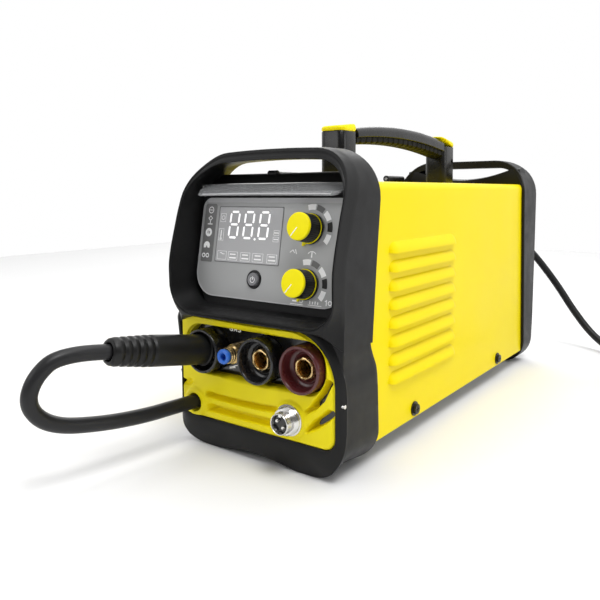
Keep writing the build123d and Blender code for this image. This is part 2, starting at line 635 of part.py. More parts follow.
def feed_unit():
    """Wire drive: gear case on the divider, drive roller and inlet and outlet guides."""
    x1 = DIVIDER_X - SHEET
    case = block(x1 - 14, x1, FEED_Y - 34, FEED_Y + 34, FEED_Z - 34, FEED_Z + 8)
    case += rod_x(FEED_Y, FEED_Z - 12, 13.0, x1 - 24, x1 - 14)
    case += block(x1 - 24, x1 - 14, FEED_Y + 18, FEED_Y + 34, FEED_Z - 6, FEED_Z + 4)
    case += block(x1 - 24, x1 - 14, FEED_Y - 34, FEED_Y - 18, FEED_Z - 6, FEED_Z + 4)
    ears = block(x1 - 14, x1, FEED_Y + 18, FEED_Y + 34, FEED_Z + 8, FEED_Z + 24)
    pin = rod_x(FEED_Y + 26, FEED_Z + 18, 2.0, x1 - 26, x1 - 10)
    return case + ears + pin


def pressure_arm():
    """Hinged arm with the idler roller that presses the wire on the drive roller."""
    x1 = DIVIDER_X - SHEET - 14.3
    arm = block(x1 - 10, x1, FEED_Y - 30, FEED_Y + 31, FEED_Z + 12, FEED_Z + 22)
    arm += rod_x(FEED_Y + 26, FEED_Z + 18, 5.5, x1 - 10, x1)
    arm += rod_x(FEED_Y, FEED_Z + 12.6, 11.0, x1 - 8, x1 - 1)
    arm += rod_z(x1 - 5, FEED_Y - 26, 5.0, FEED_Z + 22, FEED_Z + 42)
    return arm - rod_x(FEED_Y + 26, FEED_Z + 18, 2.0 + RUN, x1 - 12, x1 + 2)


# ------------------------------------------------------------------ side door
def knuckle(y0, y1):
    return rod_y(HINGE_X, HINGE_Z, HINGE_R, y0, y1)


def door_hinges():
    """Fixed hinge leaves on the roof edge with their pins."""
    hinges = []
    for y in HINGE_Y:
        leaf = block(-74.5, -58, y, y + HINGE_LEN, CASE_Z1, CASE_Z1 + 2.2)
        for y0, y1 in ((y, y + 13), (y + HINGE_LEN - 13, y + HINGE_LEN)):
            leaf += block(HINGE_X - 2.4, HINGE_X + HINGE_R, y0, y1, CASE_Z1 + 0.0, HINGE_Z)
            leaf += knuckle(y0, y1)
        hinges.append(leaf + rod_y(HINGE_X, HINGE_Z, 1.6, y, y + HINGE_LEN))
    return Compound(hinges)


def side_door():
    """Steel door over the wire compartment, hung from the roof edge."""
    y0, y1, z0, z1 = DOOR
    outer = -CASE_HALF - GAP - 1.3
    door = along_x(rounded(y0, y1, z0, z1, 6), outer, outer + 1.3)
    for y in HINGE_Y:
        a, b = y + 13 + GAP, y + HINGE_LEN - 13 - GAP
        door += block(outer - 2.0, outer, y, y + HINGE_LEN, z1 - 20, z1)
        door += block(outer - 2.0, outer, a, b, z1 - 1, HINGE_Z) + knuckle(a, b)
        door -= rod_y(HINGE_X, HINGE_Z, 1.6 + RUN, a - 1, b + 1)
    return door - rod_x(LATCH_Y, LATCH_Z, 3.0 + RUN, outer - 3, outer + 3)


LATCH_Y, LATCH_Z = 20.0, 48.0


def door_latch():
    """Quarter-turn latch: slotted head outside, cam behind the casing's edge."""
    outer = -CASE_HALF - GAP - 1.3
    head = rod_x(LATCH_Y, LATCH_Z, 9.0, -HALF + 0.1, outer - 0.05)
    shaft = rod_x(LATCH_Y, LATCH_Z, 3.0, outer - 0.5, -70.5)
    cam = block(-73.2, -71.2, LATCH_Y - 5, LATCH_Y + 18, LATCH_Z - 5, LATCH_Z + 5)
    slot = block(-HALF - 1, -HALF + 1.1, LATCH_Y - 7, LATCH_Y + 7, LATCH_Z - 0.9, LATCH_Z + 0.9)
    return head + shaft + cam - slot


# ------------------------------------------------------------------ leads
def cord_path(name, points):
    """Straight runs joined by tangent arcs, each arc as large as its two runs allow."""
    runs = [(Vector(*b) - Vector(*a)) for a, b in zip(points, points[1:])]
    radii = []
    for first, second in zip(runs, runs[1:]):
        turn = radians(first.get_angle(second))
        radii.append(0.45 * min(first.length, second.length) / tan(turn / 2))
    path = FilletPolyline(*points, radius=radii)
    print(name, "radii", [round(r) for r in radii], "runs", [round(r.length) for r in runs],
          "length", round(path.length, 1))
    return path


def cord_tube(path, diameter):
    """Round cable along a path."""
    section = Plane(origin=path @ 0, z_dir=path % 0) * Circle(diameter / 2)
    tube = sweep(section, path=path)
    print("   volume over section times length", round(
        tube.volume / (pi * diameter ** 2 / 4 * path.length), 4))
    return tube


PLUG_ROOT = Vector(SOCKET_X["left"], PLATE_FACE - 5.0, SOCKET_Z)    # inside the brass contact
PLUG_END = Vector(-58.0, -290.7, 92.3)
PLUG_REACH = (PLUG_END - PLUG_ROOT).length
PLUG_BODY, PLUG_BODY_END = 5.5, 60.0
LEAD_ROUTE = [(LEAD_X, -201.0, LEAD_Z), (-59.5, -228.0, 36.2), (-63.0, -256.0, 36.0),
              (-67.5, -292.0, 39.4), (-71.2, -328.5, 47.6), (-72.0, -345.0, 65.0),
              (-69.5, -340.6, 84.0), (-65.0, -323.0, 97.2), tuple(PLUG_END)]


def on_plug(shape):
    """Place a shape drawn along Z on the plug's axis, which leans up and out of the socket."""
    return Plane(origin=PLUG_ROOT, z_dir=PLUG_END - PLUG_ROOT, x_dir=(1, 0, 0)) * shape


def plug_body():
    """Rubber plug body with a tapering boot; the lead ends in its bore."""
    grip = Pos(0, 0, (PLUG_BODY + PLUG_BODY_END) / 2) * Cylinder(11.8, PLUG_BODY_END - PLUG_BODY)
    boot_len = PLUG_REACH - PLUG_BODY_END
    boot = Pos(0, 0, PLUG_BODY_END + boot_len / 2) * Cone(11.0, 8.2, boot_len)
    return on_plug(grip + boot - Pos(0, 0, PLUG_BODY) * Cylinder(4.0, 6))


def plug_pin():
    """Brass contact pin of the plug."""
    return on_plug(Pos(0, 0, 0.2) * Cylinder(3.9, 16.0))


GLAND_END = REAR_PANEL_Y + 29.0
MAINS_ROUTE = [(30.0, GLAND_END - 2.0, 150.0), (30.0, 262.0, 150.0), (39.9, 290.0, 138.0),
               (57.0, 305.0, 115.5), (84.0, 308.0, 80.0), (108.0, 305.5, 44.5),
               (134.0, 300.0, 16.0), (164.0, 281.0, 4.6), (178.0, 246.0, 4.8),
               (178.0, 212.0, 4.6)]
COIL_X, COIL_Y, COIL_MEAN, COIL_BAND = 237.0, 212.0, 50.0, 13.6
COIL_HIGH = 18.4


def mains_coil():
    """Outer shape of the stored turns, lying flat."""
    ring = Cylinder(COIL_MEAN + COIL_BAND, COIL_HIGH) - Cylinder(COIL_MEAN - COIL_BAND, COIL_HIGH + 2)
    return Pos(COIL_X, COIL_Y, COIL_HIGH / 2 + 0.1) * ring


def mains_plug():
    """Round two-pin mains plug with its cord sleeve, lying on top of the coil along its turns."""
    body = Cylinder(18.0, 26) + Pos(0, 0, -23) * Cone(6.0, 12.0, 20)
    for dx in (-9.5, 9.5):
        body += Pos(dx, 0, 22.5) * Cylinder(2.4, 19)
    return Pos(COIL_X + 4, COIL_Y - COIL_MEAN + 2, COIL_HIGH + 18.2) * Rot(0, 90, 0) * body


# ------------------------------------------------------------------ write the parts
def main():
    parts = {
        "casing_cover": casing_cover(), "base_tray": base_tray(), "casing_screws": casing_screws(),
        "divider_wall": divider_wall(), "front_bumper": front_bumper(),
        "bumper_screws": bumper_screws(), "rear_bumper": rear_bumper(),
        "control_fascia": control_fascia(), "display_window": display_window(),
        "control_board": control_board(), "button_bezel": button_bezel(),
        "mode_button": mode_button(), "glare_visor": glare_visor(),
        "connector_insert": connector_insert(), "connector_plate": connector_plate(),
        "gas_fitting_body": gas_fitting_body(), "gas_fitting_collet": gas_fitting_collet(),
        "trigger_socket_shell": trigger_socket_shell(),
        "trigger_socket_insulator": trigger_socket_insulator(),
        "handle_front_post": handle_front_post(), "handle_rear_post": handle_rear_post(),
        "handle_cap_front": handle_cap_front(), "handle_cap_rear": handle_cap_rear(),
        "handle_grip": handle_grip(), "handle_underside": handle_underside(),
        "rear_panel": rear_panel(), "gas_inlet": gas_inlet(),
        "fan_frame": fan_frame(), "fan_rotor": fan_rotor(), "fan_grille": fan_grille(),
        "switch_housing": switch_housing(), "switch_rocker": switch_rocker(),
        "mains_gland": mains_gland(), "main_board": main_board(), "heatsink": heatsink(),
        "wire_spool": wire_spool(),
        "spool_spindle": spool_spindle(), "feed_unit": feed_unit(), "pressure_arm": pressure_arm(),
        "door_hinges": door_hinges(), "side_door": side_door(), "door_latch": door_latch(),
        "polarity_plug_body": plug_body(), "polarity_plug_pin": plug_pin(),
        "mains_coil": mains_coil(), "mains_plug": mains_plug(),
    }
    for place, v in zip(("upper", "lower"), KNOB_V):
        parts["potentiometer_" + place] = potentiometer(v)
        parts["knob_" + place] = knob(v)
        parts["knob_cap_" + place] = knob_cap(v)
    for side in SOCKET_X:
        parts["socket_shell_" + side] = socket_shell(side)
        parts["socket_insert_" + side] = socket_insert(side)
    parts["polarity_lead"] = cord_tube(cord_path("polarity lead", LEAD_ROUTE), LEAD_D)
    parts["mains_cord"] = cord_tube(cord_path("mains cord", MAINS_ROUTE), MAINS_D)
    for name, shape in parts.items():
        export_step(shape, "parts/" + name + ".step")
    print(len(parts), "parts")


main()
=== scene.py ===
"""Portable welding inverter: surfaces, finishes, leads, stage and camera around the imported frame."""
from math import cos, pi, radians, sin

import bmesh
import bpy
import numpy as np
from mathutils import Matrix, Vector


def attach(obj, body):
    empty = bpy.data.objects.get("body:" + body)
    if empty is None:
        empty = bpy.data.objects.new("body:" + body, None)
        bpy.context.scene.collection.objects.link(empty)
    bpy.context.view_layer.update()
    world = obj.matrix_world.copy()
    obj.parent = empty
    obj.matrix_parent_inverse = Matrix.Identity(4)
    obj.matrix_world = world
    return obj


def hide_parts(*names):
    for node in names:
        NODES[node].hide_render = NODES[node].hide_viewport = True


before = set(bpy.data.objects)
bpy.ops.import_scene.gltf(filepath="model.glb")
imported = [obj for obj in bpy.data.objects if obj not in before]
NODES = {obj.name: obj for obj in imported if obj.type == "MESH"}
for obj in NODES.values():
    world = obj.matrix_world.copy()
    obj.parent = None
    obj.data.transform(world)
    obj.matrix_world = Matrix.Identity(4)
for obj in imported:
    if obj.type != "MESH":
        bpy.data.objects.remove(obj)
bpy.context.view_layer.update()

bl_info = {
    "name": "Welding inverter",
    "version": (1, 0, 0),
    "blender": (4, 5, 0),
    "location": "View3D > Sidebar > Welder",
    "description": "Builds the visible pieces and finishes of a portable welding inverter",
    "category": "Object",
}

MM = 0.001
FINISHES = {}

# ------------------------------------------------------------------ sizes in millimetres
CASE_HALF, CASE_TOP, CASE_FOOT = 76.3, 209.8, 15.5
CASE_FRONT, CASE_REAR, SHEET = -169.0, 196.0, 1.2
INSERT_FACE, PLATE_FACE = -208.5, -199.0
TILT = radians(10.0)
PANEL_Y, PANEL_Z = -184.6, 160.0
KNOB_X, KNOB_V = 38.5, {"upper": 15.2, "lower": -25.4}
BUTTON = (-11.0, -25.4)
SOCKETS = {"left": -47.0, "middle": 8.0, "right": 48.0}
SOCKET_Z = 78.3
TRIGGER = (37.5, 40.5)
LEAD = (-58.0, 35.0)
GAS = (-20.8, 78.5)
FAN = (14.0, 183.0, 74.0)
PLUG = (241.0, 164.0, 36.6)
COIL = (237.0, 212.0)
LOUVRES, LOUVRE_TOP, LOUVRE_PITCH = 8, 155.1, 14.46
HANDLE_HALF = 12.3
GRIP_ENDS = (-74.4, 108.3)
POSTS = {"front": (-100.5, -74.7, 254.8), "rear": (108.6, 137.8, 252.5)}
ARCH_CENTRE, ARCH_R = -129.0, 134.5  # the arch between the feet is an arc of this circle
HOOD_LIP = np.array([(100, -215.5), (106, -215.5), (147, -216), (161, -213), (187, -205.5), (202, -200),
                     (214, -194), (224, -187), (230, -183.5), (234, -182)], float)
HOOD_CREASE = np.array([(90, -203.4), (130, -202.8), (155, -201), (176, -193.3), (192, -188), (205, -182.5),
                        (220, -176), (234, -172)], float)
HOOD_REAR = np.array([(91, -166.4), (150, -160.5), (198, -155), (234, -155)], float)
FRAME_REAR = np.array([(0, -159), (8, -156.5), (20, -155), (75, -157.5), (91, -166.4), (114, -166.4)], float)
REAR_FRONT = np.array([(0, 186), (40, 183.4), (195, 177), (205, 177), (226, 186), (239, 190)], float)
REAR_BACK = np.array([(0, 211), (28, 214.5), (47, 217), (119, 220.2), (191, 222.5), (226, 222.5), (239, 214)],
                     float)


# ------------------------------------------------------------------ surfaces as whole arrays
def skin(rings, run_closed=False):
    """Surface through rows of points: each row is a closed ring, neighbouring rows are joined by
    four-sided faces, and the first and last rows are filled, or joined when the run is closed."""
    rings = np.asarray(rings, float)
    rows, count = rings.shape[:2]
    i = np.arange(rows if run_closed else rows - 1)[:, None]
    j = np.arange(count)[None, :]
    nxt, side = (i + 1) % rows, (j + 1) % count
    quads = np.stack([i * count + j, i * count + side, nxt * count + side, nxt * count + j],
                     -1).reshape(-1, 4)
    ends = []
    if not run_closed:
        ends = [np.arange(count)[::-1], np.arange(count) + (rows - 1) * count]
    return outward(rings.reshape(-1, 3), quads, ends)


def outward(points, quads, ends):
    """The same faces, all turned round if the solid's signed volume is negative: the sum over its
    triangles of corner a times the cross product of corners b and c."""
    fans = [np.stack([np.full(len(e) - 2, e[0]), e[1:-1], e[2:]], -1) for e in ends]
    tri = np.concatenate([quads[:, [0, 1, 2]], quads[:, [0, 2, 3]]] + fans)
    middle = points.mean(0)
    a, b, c = (points[tri[:, k]] - middle for k in range(3))
    if np.einsum("ij,ij->", a, np.cross(b, c)) < 0:
        quads, ends = quads[:, ::-1], [e[::-1] for e in ends]
    return points, quads, ends


def basis(axis):
    """Three unit vectors of which the last is the axis."""
    w = np.array(axis, float) / np.linalg.norm(axis)
    u = np.cross((0, 0, 1) if abs(w[2]) < 0.9 else (1, 0, 0), w)
    u /= np.linalg.norm(u)
    return u, np.cross(w, u), w


def lathe(profile, at, axis, count=72, closed=False, ripple=None):
    """Profile of radius and height turned about an axis: point = at + r (u cos a + v sin a) + h w.
    A ripple multiplies the radius by a function of the row and the angle."""
    r, h = np.array(profile, float).T
    a = np.arange(count) * 2 * pi / count
    rad = r[:, None] * (np.ones(count) if ripple is None else ripple(np.arange(len(r))[:, None], a[None, :]))
    u, v, w = basis(axis)
    rings = (np.array(at, float) + rad[..., None] * (u * np.cos(a)[:, None] + v * np.sin(a)[:, None])[None]
             + h[:, None, None] * w)
    return skin(rings, run_closed=closed)


def outline(x0, x1, z0, z1, low, high=None, arc=10, side=1):
    """Rounded rectangle, counter-clockwise from its lower right corner: each corner is a quarter
    circle about its own centre, and each straight side is divided into equal steps."""
    high = low if high is None else high
    corners = ((x1 - low, z0 + low, low, -90), (x1 - high, z1 - high, high, 0),
               (x0 + high, z1 - high, high, 90), (x0 + low, z0 + low, low, 180))
    t = np.linspace(0, pi / 2, arc + 1)
    arcs = [np.stack([cx + r * np.cos(radians(s) + t), cz + r * np.sin(radians(s) + t)], -1) for cx, cz, r,
            s in corners]
    step = np.linspace(0, 1, side + 1)[1:-1, None]
    loop = []
    for k in range(4):
        a, b = arcs[k][-1], arcs[(k + 1) % 4][0]
        loop += [arcs[k], a + (b - a) * step]
    return np.concatenate(loop)


def arch(points):
    """Raise an outline to the arc between the feet: z is at least the circle's height at x."""
    x, z = points.T
    lift = ARCH_CENTRE + np.sqrt(np.maximum(ARCH_R ** 2 - x ** 2, 0))
    return np.stack([x, np.maximum(z, lift)], -1)


def on_rays(shape, centre, like):
    """Points of a star-shaped outline in the directions in which the points of another are seen
    from a centre: its distance is interpolated over the angle."""
    d, e = shape - centre, like - centre
    angle = np.arctan2(d[:, 1], d[:, 0])
    seen = np.arctan2(e[:, 1], e[:, 0])
    r = np.interp(seen, angle, np.hypot(*d.T), period=2 * pi)
    return centre + np.stack([r * np.cos(seen), r * np.sin(seen)], -1)


def dense(points, step=0.4):
    """A closed outline with its sides divided into short steps."""
    nxt = np.roll(points, -1, 0)
    parts = [a + (b - a) * np.linspace(0, 1, max(2, int(np.hypot(*(b - a)) / step) + 1))[:-1, None] for a,
             b in zip(points, nxt)]
    return np.concatenate(parts)


def upright(points, y):
    """An outline in x and z stood up at depth y, a number or one for each point."""
    return np.stack([points[:, 0], np.broadcast_to(y, len(points)), points[:, 1]], -1)


def at_height(table, z):
    """Depth at height z, by linear interpolation of a table of height and depth."""
    return np.interp(z, table[:, 0], table[:, 1])


def softened(table, reach=7.0):
    """The same table, sampled finely and averaged over a short reach so that it has no corners."""
    z = np.arange(table[0, 0], table[-1, 0] + 0.5, 0.5)
    wide = np.arange(-reach, reach + 0.25, 0.5)
    weight = np.cos(wide / reach * pi / 2)
    y = np.interp(z[:, None] + wide[None], table[:, 0], table[:, 1]) @ weight / weight.sum()
    return np.stack([z, y], -1)


def on_panel(x, v, w):
    """The tilted panel's own coordinates as points: across, up the panel, and out of it."""
    x, v, w = np.broadcast_arrays(*(np.asarray(q, float) for q in (x, v, w)))
    return np.stack([x, PANEL_Y + v * sin(TILT) - w * cos(TILT), PANEL_Z + v * cos(TILT) + w * sin(TILT)], -1)


def on_plate(x, v, w):
    """Points on the black connector plate: across, up, and out of it towards the front."""
    x, v, w = np.broadcast_arrays(*(np.asarray(q, float) for q in (x, v, w)))
    return np.stack([x, PLATE_FACE - w, v], -1)


def prism(corners, w0, w1, place=on_panel):
    """Flat outline given thickness: the same corners at two depths."""
    x, v = np.array(corners, float).T
    return skin([place(x, v, w0), place(x, v, w1)])


def stroke(points, width, w0, w1, place=on_panel):
    """A drawn line: one thin slab for each run of a polyline, longer by half its width at each end."""
    slabs = []
    for a, b in zip(np.array(points[:-1], float), np.array(points[1:], float)):
        along = (b - a) / np.hypot(*(b - a)) * width / 2
        across = np.array([-along[1], along[0]])
        slabs.append(prism([a - along - across, b + along - across, b + along + across, a - along + across],
                           w0, w1, place))
    return slabs


def circle(x, v, r, count=28, start=0.0, end=360.0):
    """Points on a circle or an arc."""
    t = np.radians(np.linspace(start, end, count + 1))
    return [(x + r * cos(k), v + r * sin(k)) for k in t]


def sector(x, v, r0, r1, a0, a1, count=10):
    """Part of a ring between two radii and two angles."""
    return circle(x, v, r0, count, a0, a1) + circle(x, v, r1, count, a1, a0)


# ------------------------------------------------------------------ pieces
def solid_mesh(name, shapes):
    """One mesh, in metres, from closed shapes in millimetres."""
    points, faces, first = [], [], 0
    for p, quads, ends in shapes:
        points.append(p)
        faces += (quads + first).tolist() + [(e + first).tolist() for e in ends]
        first += len(p)
    mesh = bpy.data.meshes.new(name)
    mesh.from_pydata((np.concatenate(points) * MM).tolist(), [], faces)
    return mesh


def piece(name, shapes, finish, body="machine", stands_for=(), sharp=38.0):
    """One piece from closed shapes, shaded smooth between its sharp edges."""
    return add(name, solid_mesh(name, shapes), finish, body, stands_for, sharp)


def add(name, mesh, finish, body, stands_for=(), sharp=38.0, bevel=0.0):
    """Put a finished mesh in the scene as a piece that rides on a body."""
    mesh.validate()
    mesh.polygons.foreach_set("use_smooth", np.ones(len(mesh.polygons), bool))
    mesh.set_sharp_from_angle(angle=radians(sharp))
    mesh.materials.clear()
    mesh.materials.append(FINISHES[finish])
    obj = bpy.data.objects.new(name, mesh)
    bpy.context.scene.collection.objects.link(obj)
    if bevel:
        soften(obj, bevel, 40)
    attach(obj, body)
    if stands_for:
        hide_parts(*stands_for)
    return obj


def soften(obj, width, angle):
    """Round the edges that are sharper than an angle in degrees."""
    soft = obj.modifiers.new("Soft edges", "BEVEL")
    soft.width, soft.segments, soft.limit_method = width * MM, 2, "ANGLE"
    soft.angle_limit, soft.use_clamp_overlap, soft.harden_normals = radians(angle), True, True


def softened_copy(node, finish, body="machine", bevel=0.5):
    """A merged copy of a frame node with its edges rounded, standing for it."""
    bm = bmesh.new()
    bm.from_mesh(NODES[node].data)
    bmesh.ops.remove_doubles(bm, verts=bm.verts, dist=2e-6)
    bmesh.ops.dissolve_limit(bm, angle_limit=radians(1.0), verts=bm.verts, edges=bm.edges)
    mesh = bpy.data.meshes.new(node)
    bm.to_mesh(mesh)
    bm.free()
    return add(node + "_moulded", mesh, finish, body, (node,), 38.0, bevel)


def cut(obj, shapes, finish, sharp, smooth=False):
    """Take closed shapes out of a piece with an exact boolean, and shade what is left: the new walls
    are flat unless the whole piece is smooth."""
    tool = bpy.data.objects.new("cutter", solid_mesh("cutter", shapes))
    bpy.context.scene.collection.objects.link(tool)
    mod = obj.modifiers.new("Cut", "BOOLEAN")
    mod.operation, mod.solver, mod.object = "DIFFERENCE", "EXACT", tool
    bpy.context.view_layer.update()
    done = bpy.data.meshes.new_from_object(obj.evaluated_get(bpy.context.evaluated_depsgraph_get()))
    obj.modifiers.remove(mod)
    done.name = obj.name
    obj.data = done
    bpy.data.objects.remove(tool)
    done.materials.clear()
    done.materials.append(FINISHES[finish])
    if smooth:
        done.polygons.foreach_set("use_smooth", np.ones(len(done.polygons), bool))
    done.set_sharp_from_angle(angle=radians(sharp))


def box(x0, x1, y0, y1, z0, z1):
    """Six-sided block."""
    ring = [(x0, z0), (x1, z0), (x1, z1), (x0, z1)]
    return skin([[(x, y, z) for x, z in ring] for y in (y0, y1)])


# ------------------------------------------------------------------ finishes
def finish(name, colour, rough=0.5, metal=0.0, mottle=(40.0, 0.04), grain=(900.0, 0.1), rough_spread=0.05,
           stretch=(1, 1, 1), coat=0.0, coat_rough=0.08, through=0.0, ior=None, shine=0.5):
    """Procedural finish on object coordinates: a slow noise shifts the colour, the same noise at
    another scale spreads the roughness, and a fine noise is the bump."""
    mat = bpy.data.materials.new(name)
    mat.use_nodes = True
    tree = mat.node_tree
    shader = tree.nodes["Principled BSDF"]
    place = tree.nodes.new("ShaderNodeTexCoord")
    mapping = tree.nodes.new("ShaderNodeMapping")
    mapping.inputs["Scale"].default_value = stretch
    tree.links.new(place.outputs["Object"], mapping.inputs["Vector"])

    def noise(scale, detail):
        """Factor output of a noise in the mapped coordinates."""
        node = tree.nodes.new("ShaderNodeTexNoise")
        node.inputs["Scale"].default_value = scale
        node.inputs["Detail"].default_value = detail
        tree.links.new(mapping.outputs["Vector"], node.inputs["Vector"])
        return node.outputs["Fac"]

    mix = tree.nodes.new("ShaderNodeMix")
    mix.data_type = "RGBA"
    dark = [c * (1 - mottle[1]) for c in colour]
    light = [min(1.0, c * (1 + mottle[1]) + 0.03 * mottle[1]) for c in colour]
    mix.inputs["A"].default_value = (*dark, 1)
    mix.inputs["B"].default_value = (*light, 1)
    tree.links.new(noise(mottle[0], 4.0), mix.inputs["Factor"])
    tree.links.new(mix.outputs["Result"], shader.inputs["Base Color"])
    spread = tree.nodes.new("ShaderNodeMapRange")
    spread.inputs["From Min"].default_value, spread.inputs["From Max"].default_value = 0.3, 0.7
    spread.inputs["To Min"].default_value = max(0.02, rough - rough_spread)
    spread.inputs["To Max"].default_value = min(1.0, rough + rough_spread)
    tree.links.new(noise(mottle[0] * 2.7, 5.0), spread.inputs["Value"])
    tree.links.new(spread.outputs["Result"], shader.inputs["Roughness"])
    bump = tree.nodes.new("ShaderNodeBump")
    bump.inputs["Strength"].default_value = grain[1]
    bump.inputs["Distance"].default_value = 0.0004
    tree.links.new(noise(grain[0], 2.0), bump.inputs["Height"])
    tree.links.new(bump.outputs["Normal"], shader.inputs["Normal"])
    shader.inputs["Metallic"].default_value = metal
    shader.inputs["Coat Weight"].default_value = coat
    shader.inputs["Coat Roughness"].default_value = coat_rough
    shader.inputs["Transmission Weight"].default_value = through
    if ior:
        shader.inputs["IOR"].default_value = ior
    shader.inputs["Specular IOR Level"].default_value = shine
    FINISHES[name] = mat
    return mat


def banded(name, along, width, depth):
    """Give a finish regular grooves: a sine wave along one object axis drives its bump."""
    tree = FINISHES[name].node_tree
    place = next(n for n in tree.nodes if n.bl_idname == "ShaderNodeTexCoord")
    wave = tree.nodes.new("ShaderNodeTexWave")
    wave.bands_direction = along
    wave.inputs["Scale"].default_value = 1 / (width * 3.1831)
    tree.links.new(place.outputs["Object"], wave.inputs["Vector"])
    old = next(n for n in tree.nodes if n.bl_idname == "ShaderNodeBump")
    bump = tree.nodes.new("ShaderNodeBump")
    bump.inputs["Strength"].default_value = depth
    bump.inputs["Distance"].default_value = 0.0006
    tree.links.new(wave.outputs["Fac"], bump.inputs["Height"])
    tree.links.new(bump.outputs["Normal"], old.inputs["Normal"])


def lit(name, colour, strength):
    """Make a finish glow a little: the display's segments glow as a lit display does, and on white print the
    glow is painted light that brightens the ink.
    """
    shader = FINISHES[name].node_tree.nodes["Principled BSDF"]
    shader.inputs["Emission Color"].default_value = (*colour, 1)
    shader.inputs["Emission Strength"].default_value = strength


def make_finishes(look):
    """Every finish of the machine."""
    finish("casing_paint", look.casing_colour, 0.38, mottle=(9, 0.04), grain=(1400, 0.03), rough_spread=0.03,
           coat=0.04, coat_rough=0.12, shine=0.1)
    finish("insert_plastic", look.insert_colour, 0.42, mottle=(22, 0.05), grain=(1900, 0.08), shine=0.22)
    finish("bumper_plastic", look.bumper_colour, 0.42, mottle=(30, 0.12), grain=(1500, 0.16),
           rough_spread=0.06, shine=0.22)
    finish("gloss_black", (0.006, 0.006, 0.007), 0.16, mottle=(30, 0.2), grain=(700, 0.03), rough_spread=0.05,
           coat=0.3, coat_rough=0.05)
    finish("handle_black", (0.006, 0.006, 0.007), 0.27, mottle=(25, 0.2), grain=(1500, 0.06), shine=0.38)
    finish("grip_rubber", (0.006, 0.006, 0.006), 0.55, mottle=(30, 0.2), grain=(1800, 0.2), shine=0.12)
    finish("panel_film", (0.43, 0.435, 0.435), 0.32, mottle=(14, 0.05), grain=(2600, 0.05), coat=0.15,
           coat_rough=0.2)
    finish("panel_light", (0.52, 0.52, 0.53), 0.35, mottle=(14, 0.05), grain=(2600, 0.04))
    finish("panel_dark", (0.19, 0.19, 0.19), 0.35, mottle=(14, 0.06), grain=(2600, 0.04))
    finish("display_glass", (0.50, 0.50, 0.51), 0.12, mottle=(18, 0.05), grain=(2600, 0.02), coat=0.5,
           coat_rough=0.04)
    finish("print_white_painted_glow", (0.86, 0.86, 0.86), 0.5, mottle=(60, 0.04), grain=(2600, 0.04))
    finish("print_grey", (0.16, 0.16, 0.16), 0.5, mottle=(60, 0.05), grain=(2600, 0.04))
    finish("print_black", (0.01, 0.01, 0.01), 0.45, mottle=(60, 0.1), grain=(2600, 0.04))
    finish("segment_white", (0.95, 0.95, 0.95), 0.4, mottle=(60, 0.02), grain=(2600, 0.02))
    lit("segment_white", (1, 1, 1), 0.55)
    # painted glow: the white print gets a faint emission so that it reads brighter, though ink gives no light
    lit("print_white_painted_glow", (1, 1, 1), 0.12)
    finish("clear_plastic", (0.60, 0.61, 0.62), 0.14, mottle=(30, 0.12), grain=(600, 0.06), through=0.72,
           ior=1.49)
    finish("brass", (0.72, 0.52, 0.24), 0.26, 1.0, mottle=(60, 0.12), grain=(1200, 0.06), rough_spread=0.09)
    finish("nickel", (0.72, 0.71, 0.69), 0.22, 1.0, mottle=(60, 0.08), grain=(1500, 0.05), rough_spread=0.08)
    finish("zinc_steel", (0.55, 0.56, 0.57), 0.38, 1.0, mottle=(50, 0.14), grain=(900, 0.08),
           rough_spread=0.1)
    finish("screw_black", (0.012, 0.012, 0.012), 0.3, 0.4, mottle=(80, 0.2), grain=(1500, 0.08))
    finish("maroon_plastic", (0.085, 0.012, 0.014), 0.3, mottle=(40, 0.15), grain=(900, 0.06), coat=0.2)
    finish("socket_plastic", (0.010, 0.010, 0.011), 0.26, mottle=(40, 0.2), grain=(900, 0.06), coat=0.2)
    finish("collar_blue", (0.03, 0.15, 0.62), 0.32, mottle=(60, 0.08), grain=(900, 0.05))
    finish("knob_black", (0.004, 0.004, 0.004), 0.34, mottle=(60, 0.2), grain=(1500, 0.08), shine=0.35)
    finish("cap_yellow", (0.97, 0.84, 0.0), 0.42, mottle=(60, 0.03), grain=(1800, 0.08), shine=0.2)
    finish("button_grey", (0.20, 0.20, 0.21), 0.4, mottle=(60, 0.08), grain=(1500, 0.08))
    finish("lead_rubber", (0.011, 0.011, 0.012), 0.4, mottle=(35, 0.22), grain=(1300, 0.12), shine=0.3)
    finish("plug_rubber", (0.005, 0.005, 0.005), 0.42, mottle=(35, 0.2), grain=(1300, 0.12), shine=0.3)
    finish("fan_plastic", (0.02, 0.02, 0.021), 0.45, mottle=(40, 0.15), grain=(1500, 0.1))
    finish("rocker_red", (0.5, 0.015, 0.012), 0.3, mottle=(60, 0.1), grain=(1500, 0.05))
    finish("rear_sheet", (0.02, 0.02, 0.021), 0.42, mottle=(20, 0.15), grain=(1400, 0.15))
    finish("board_green", (0.012, 0.10, 0.035), 0.35, mottle=(260, 0.45), grain=(700, 0.3))
    finish("aluminium", (0.68, 0.69, 0.70), 0.34, 1.0, mottle=(60, 0.08), grain=(600, 0.1),
           stretch=(1, 0.06, 1))
    finish("spool_black", (0.02, 0.02, 0.022), 0.4, mottle=(40, 0.15), grain=(900, 0.1))
    finish("welding_wire", (0.62, 0.34, 0.20), 0.28, 1.0, mottle=(60, 0.15), grain=(900, 0.1))
    banded("welding_wire", "X", 0.0012, 0.8)
    finish("floor_pale", look.floor_colour, 0.7, mottle=(2, 0.01), grain=(60, 0.02))


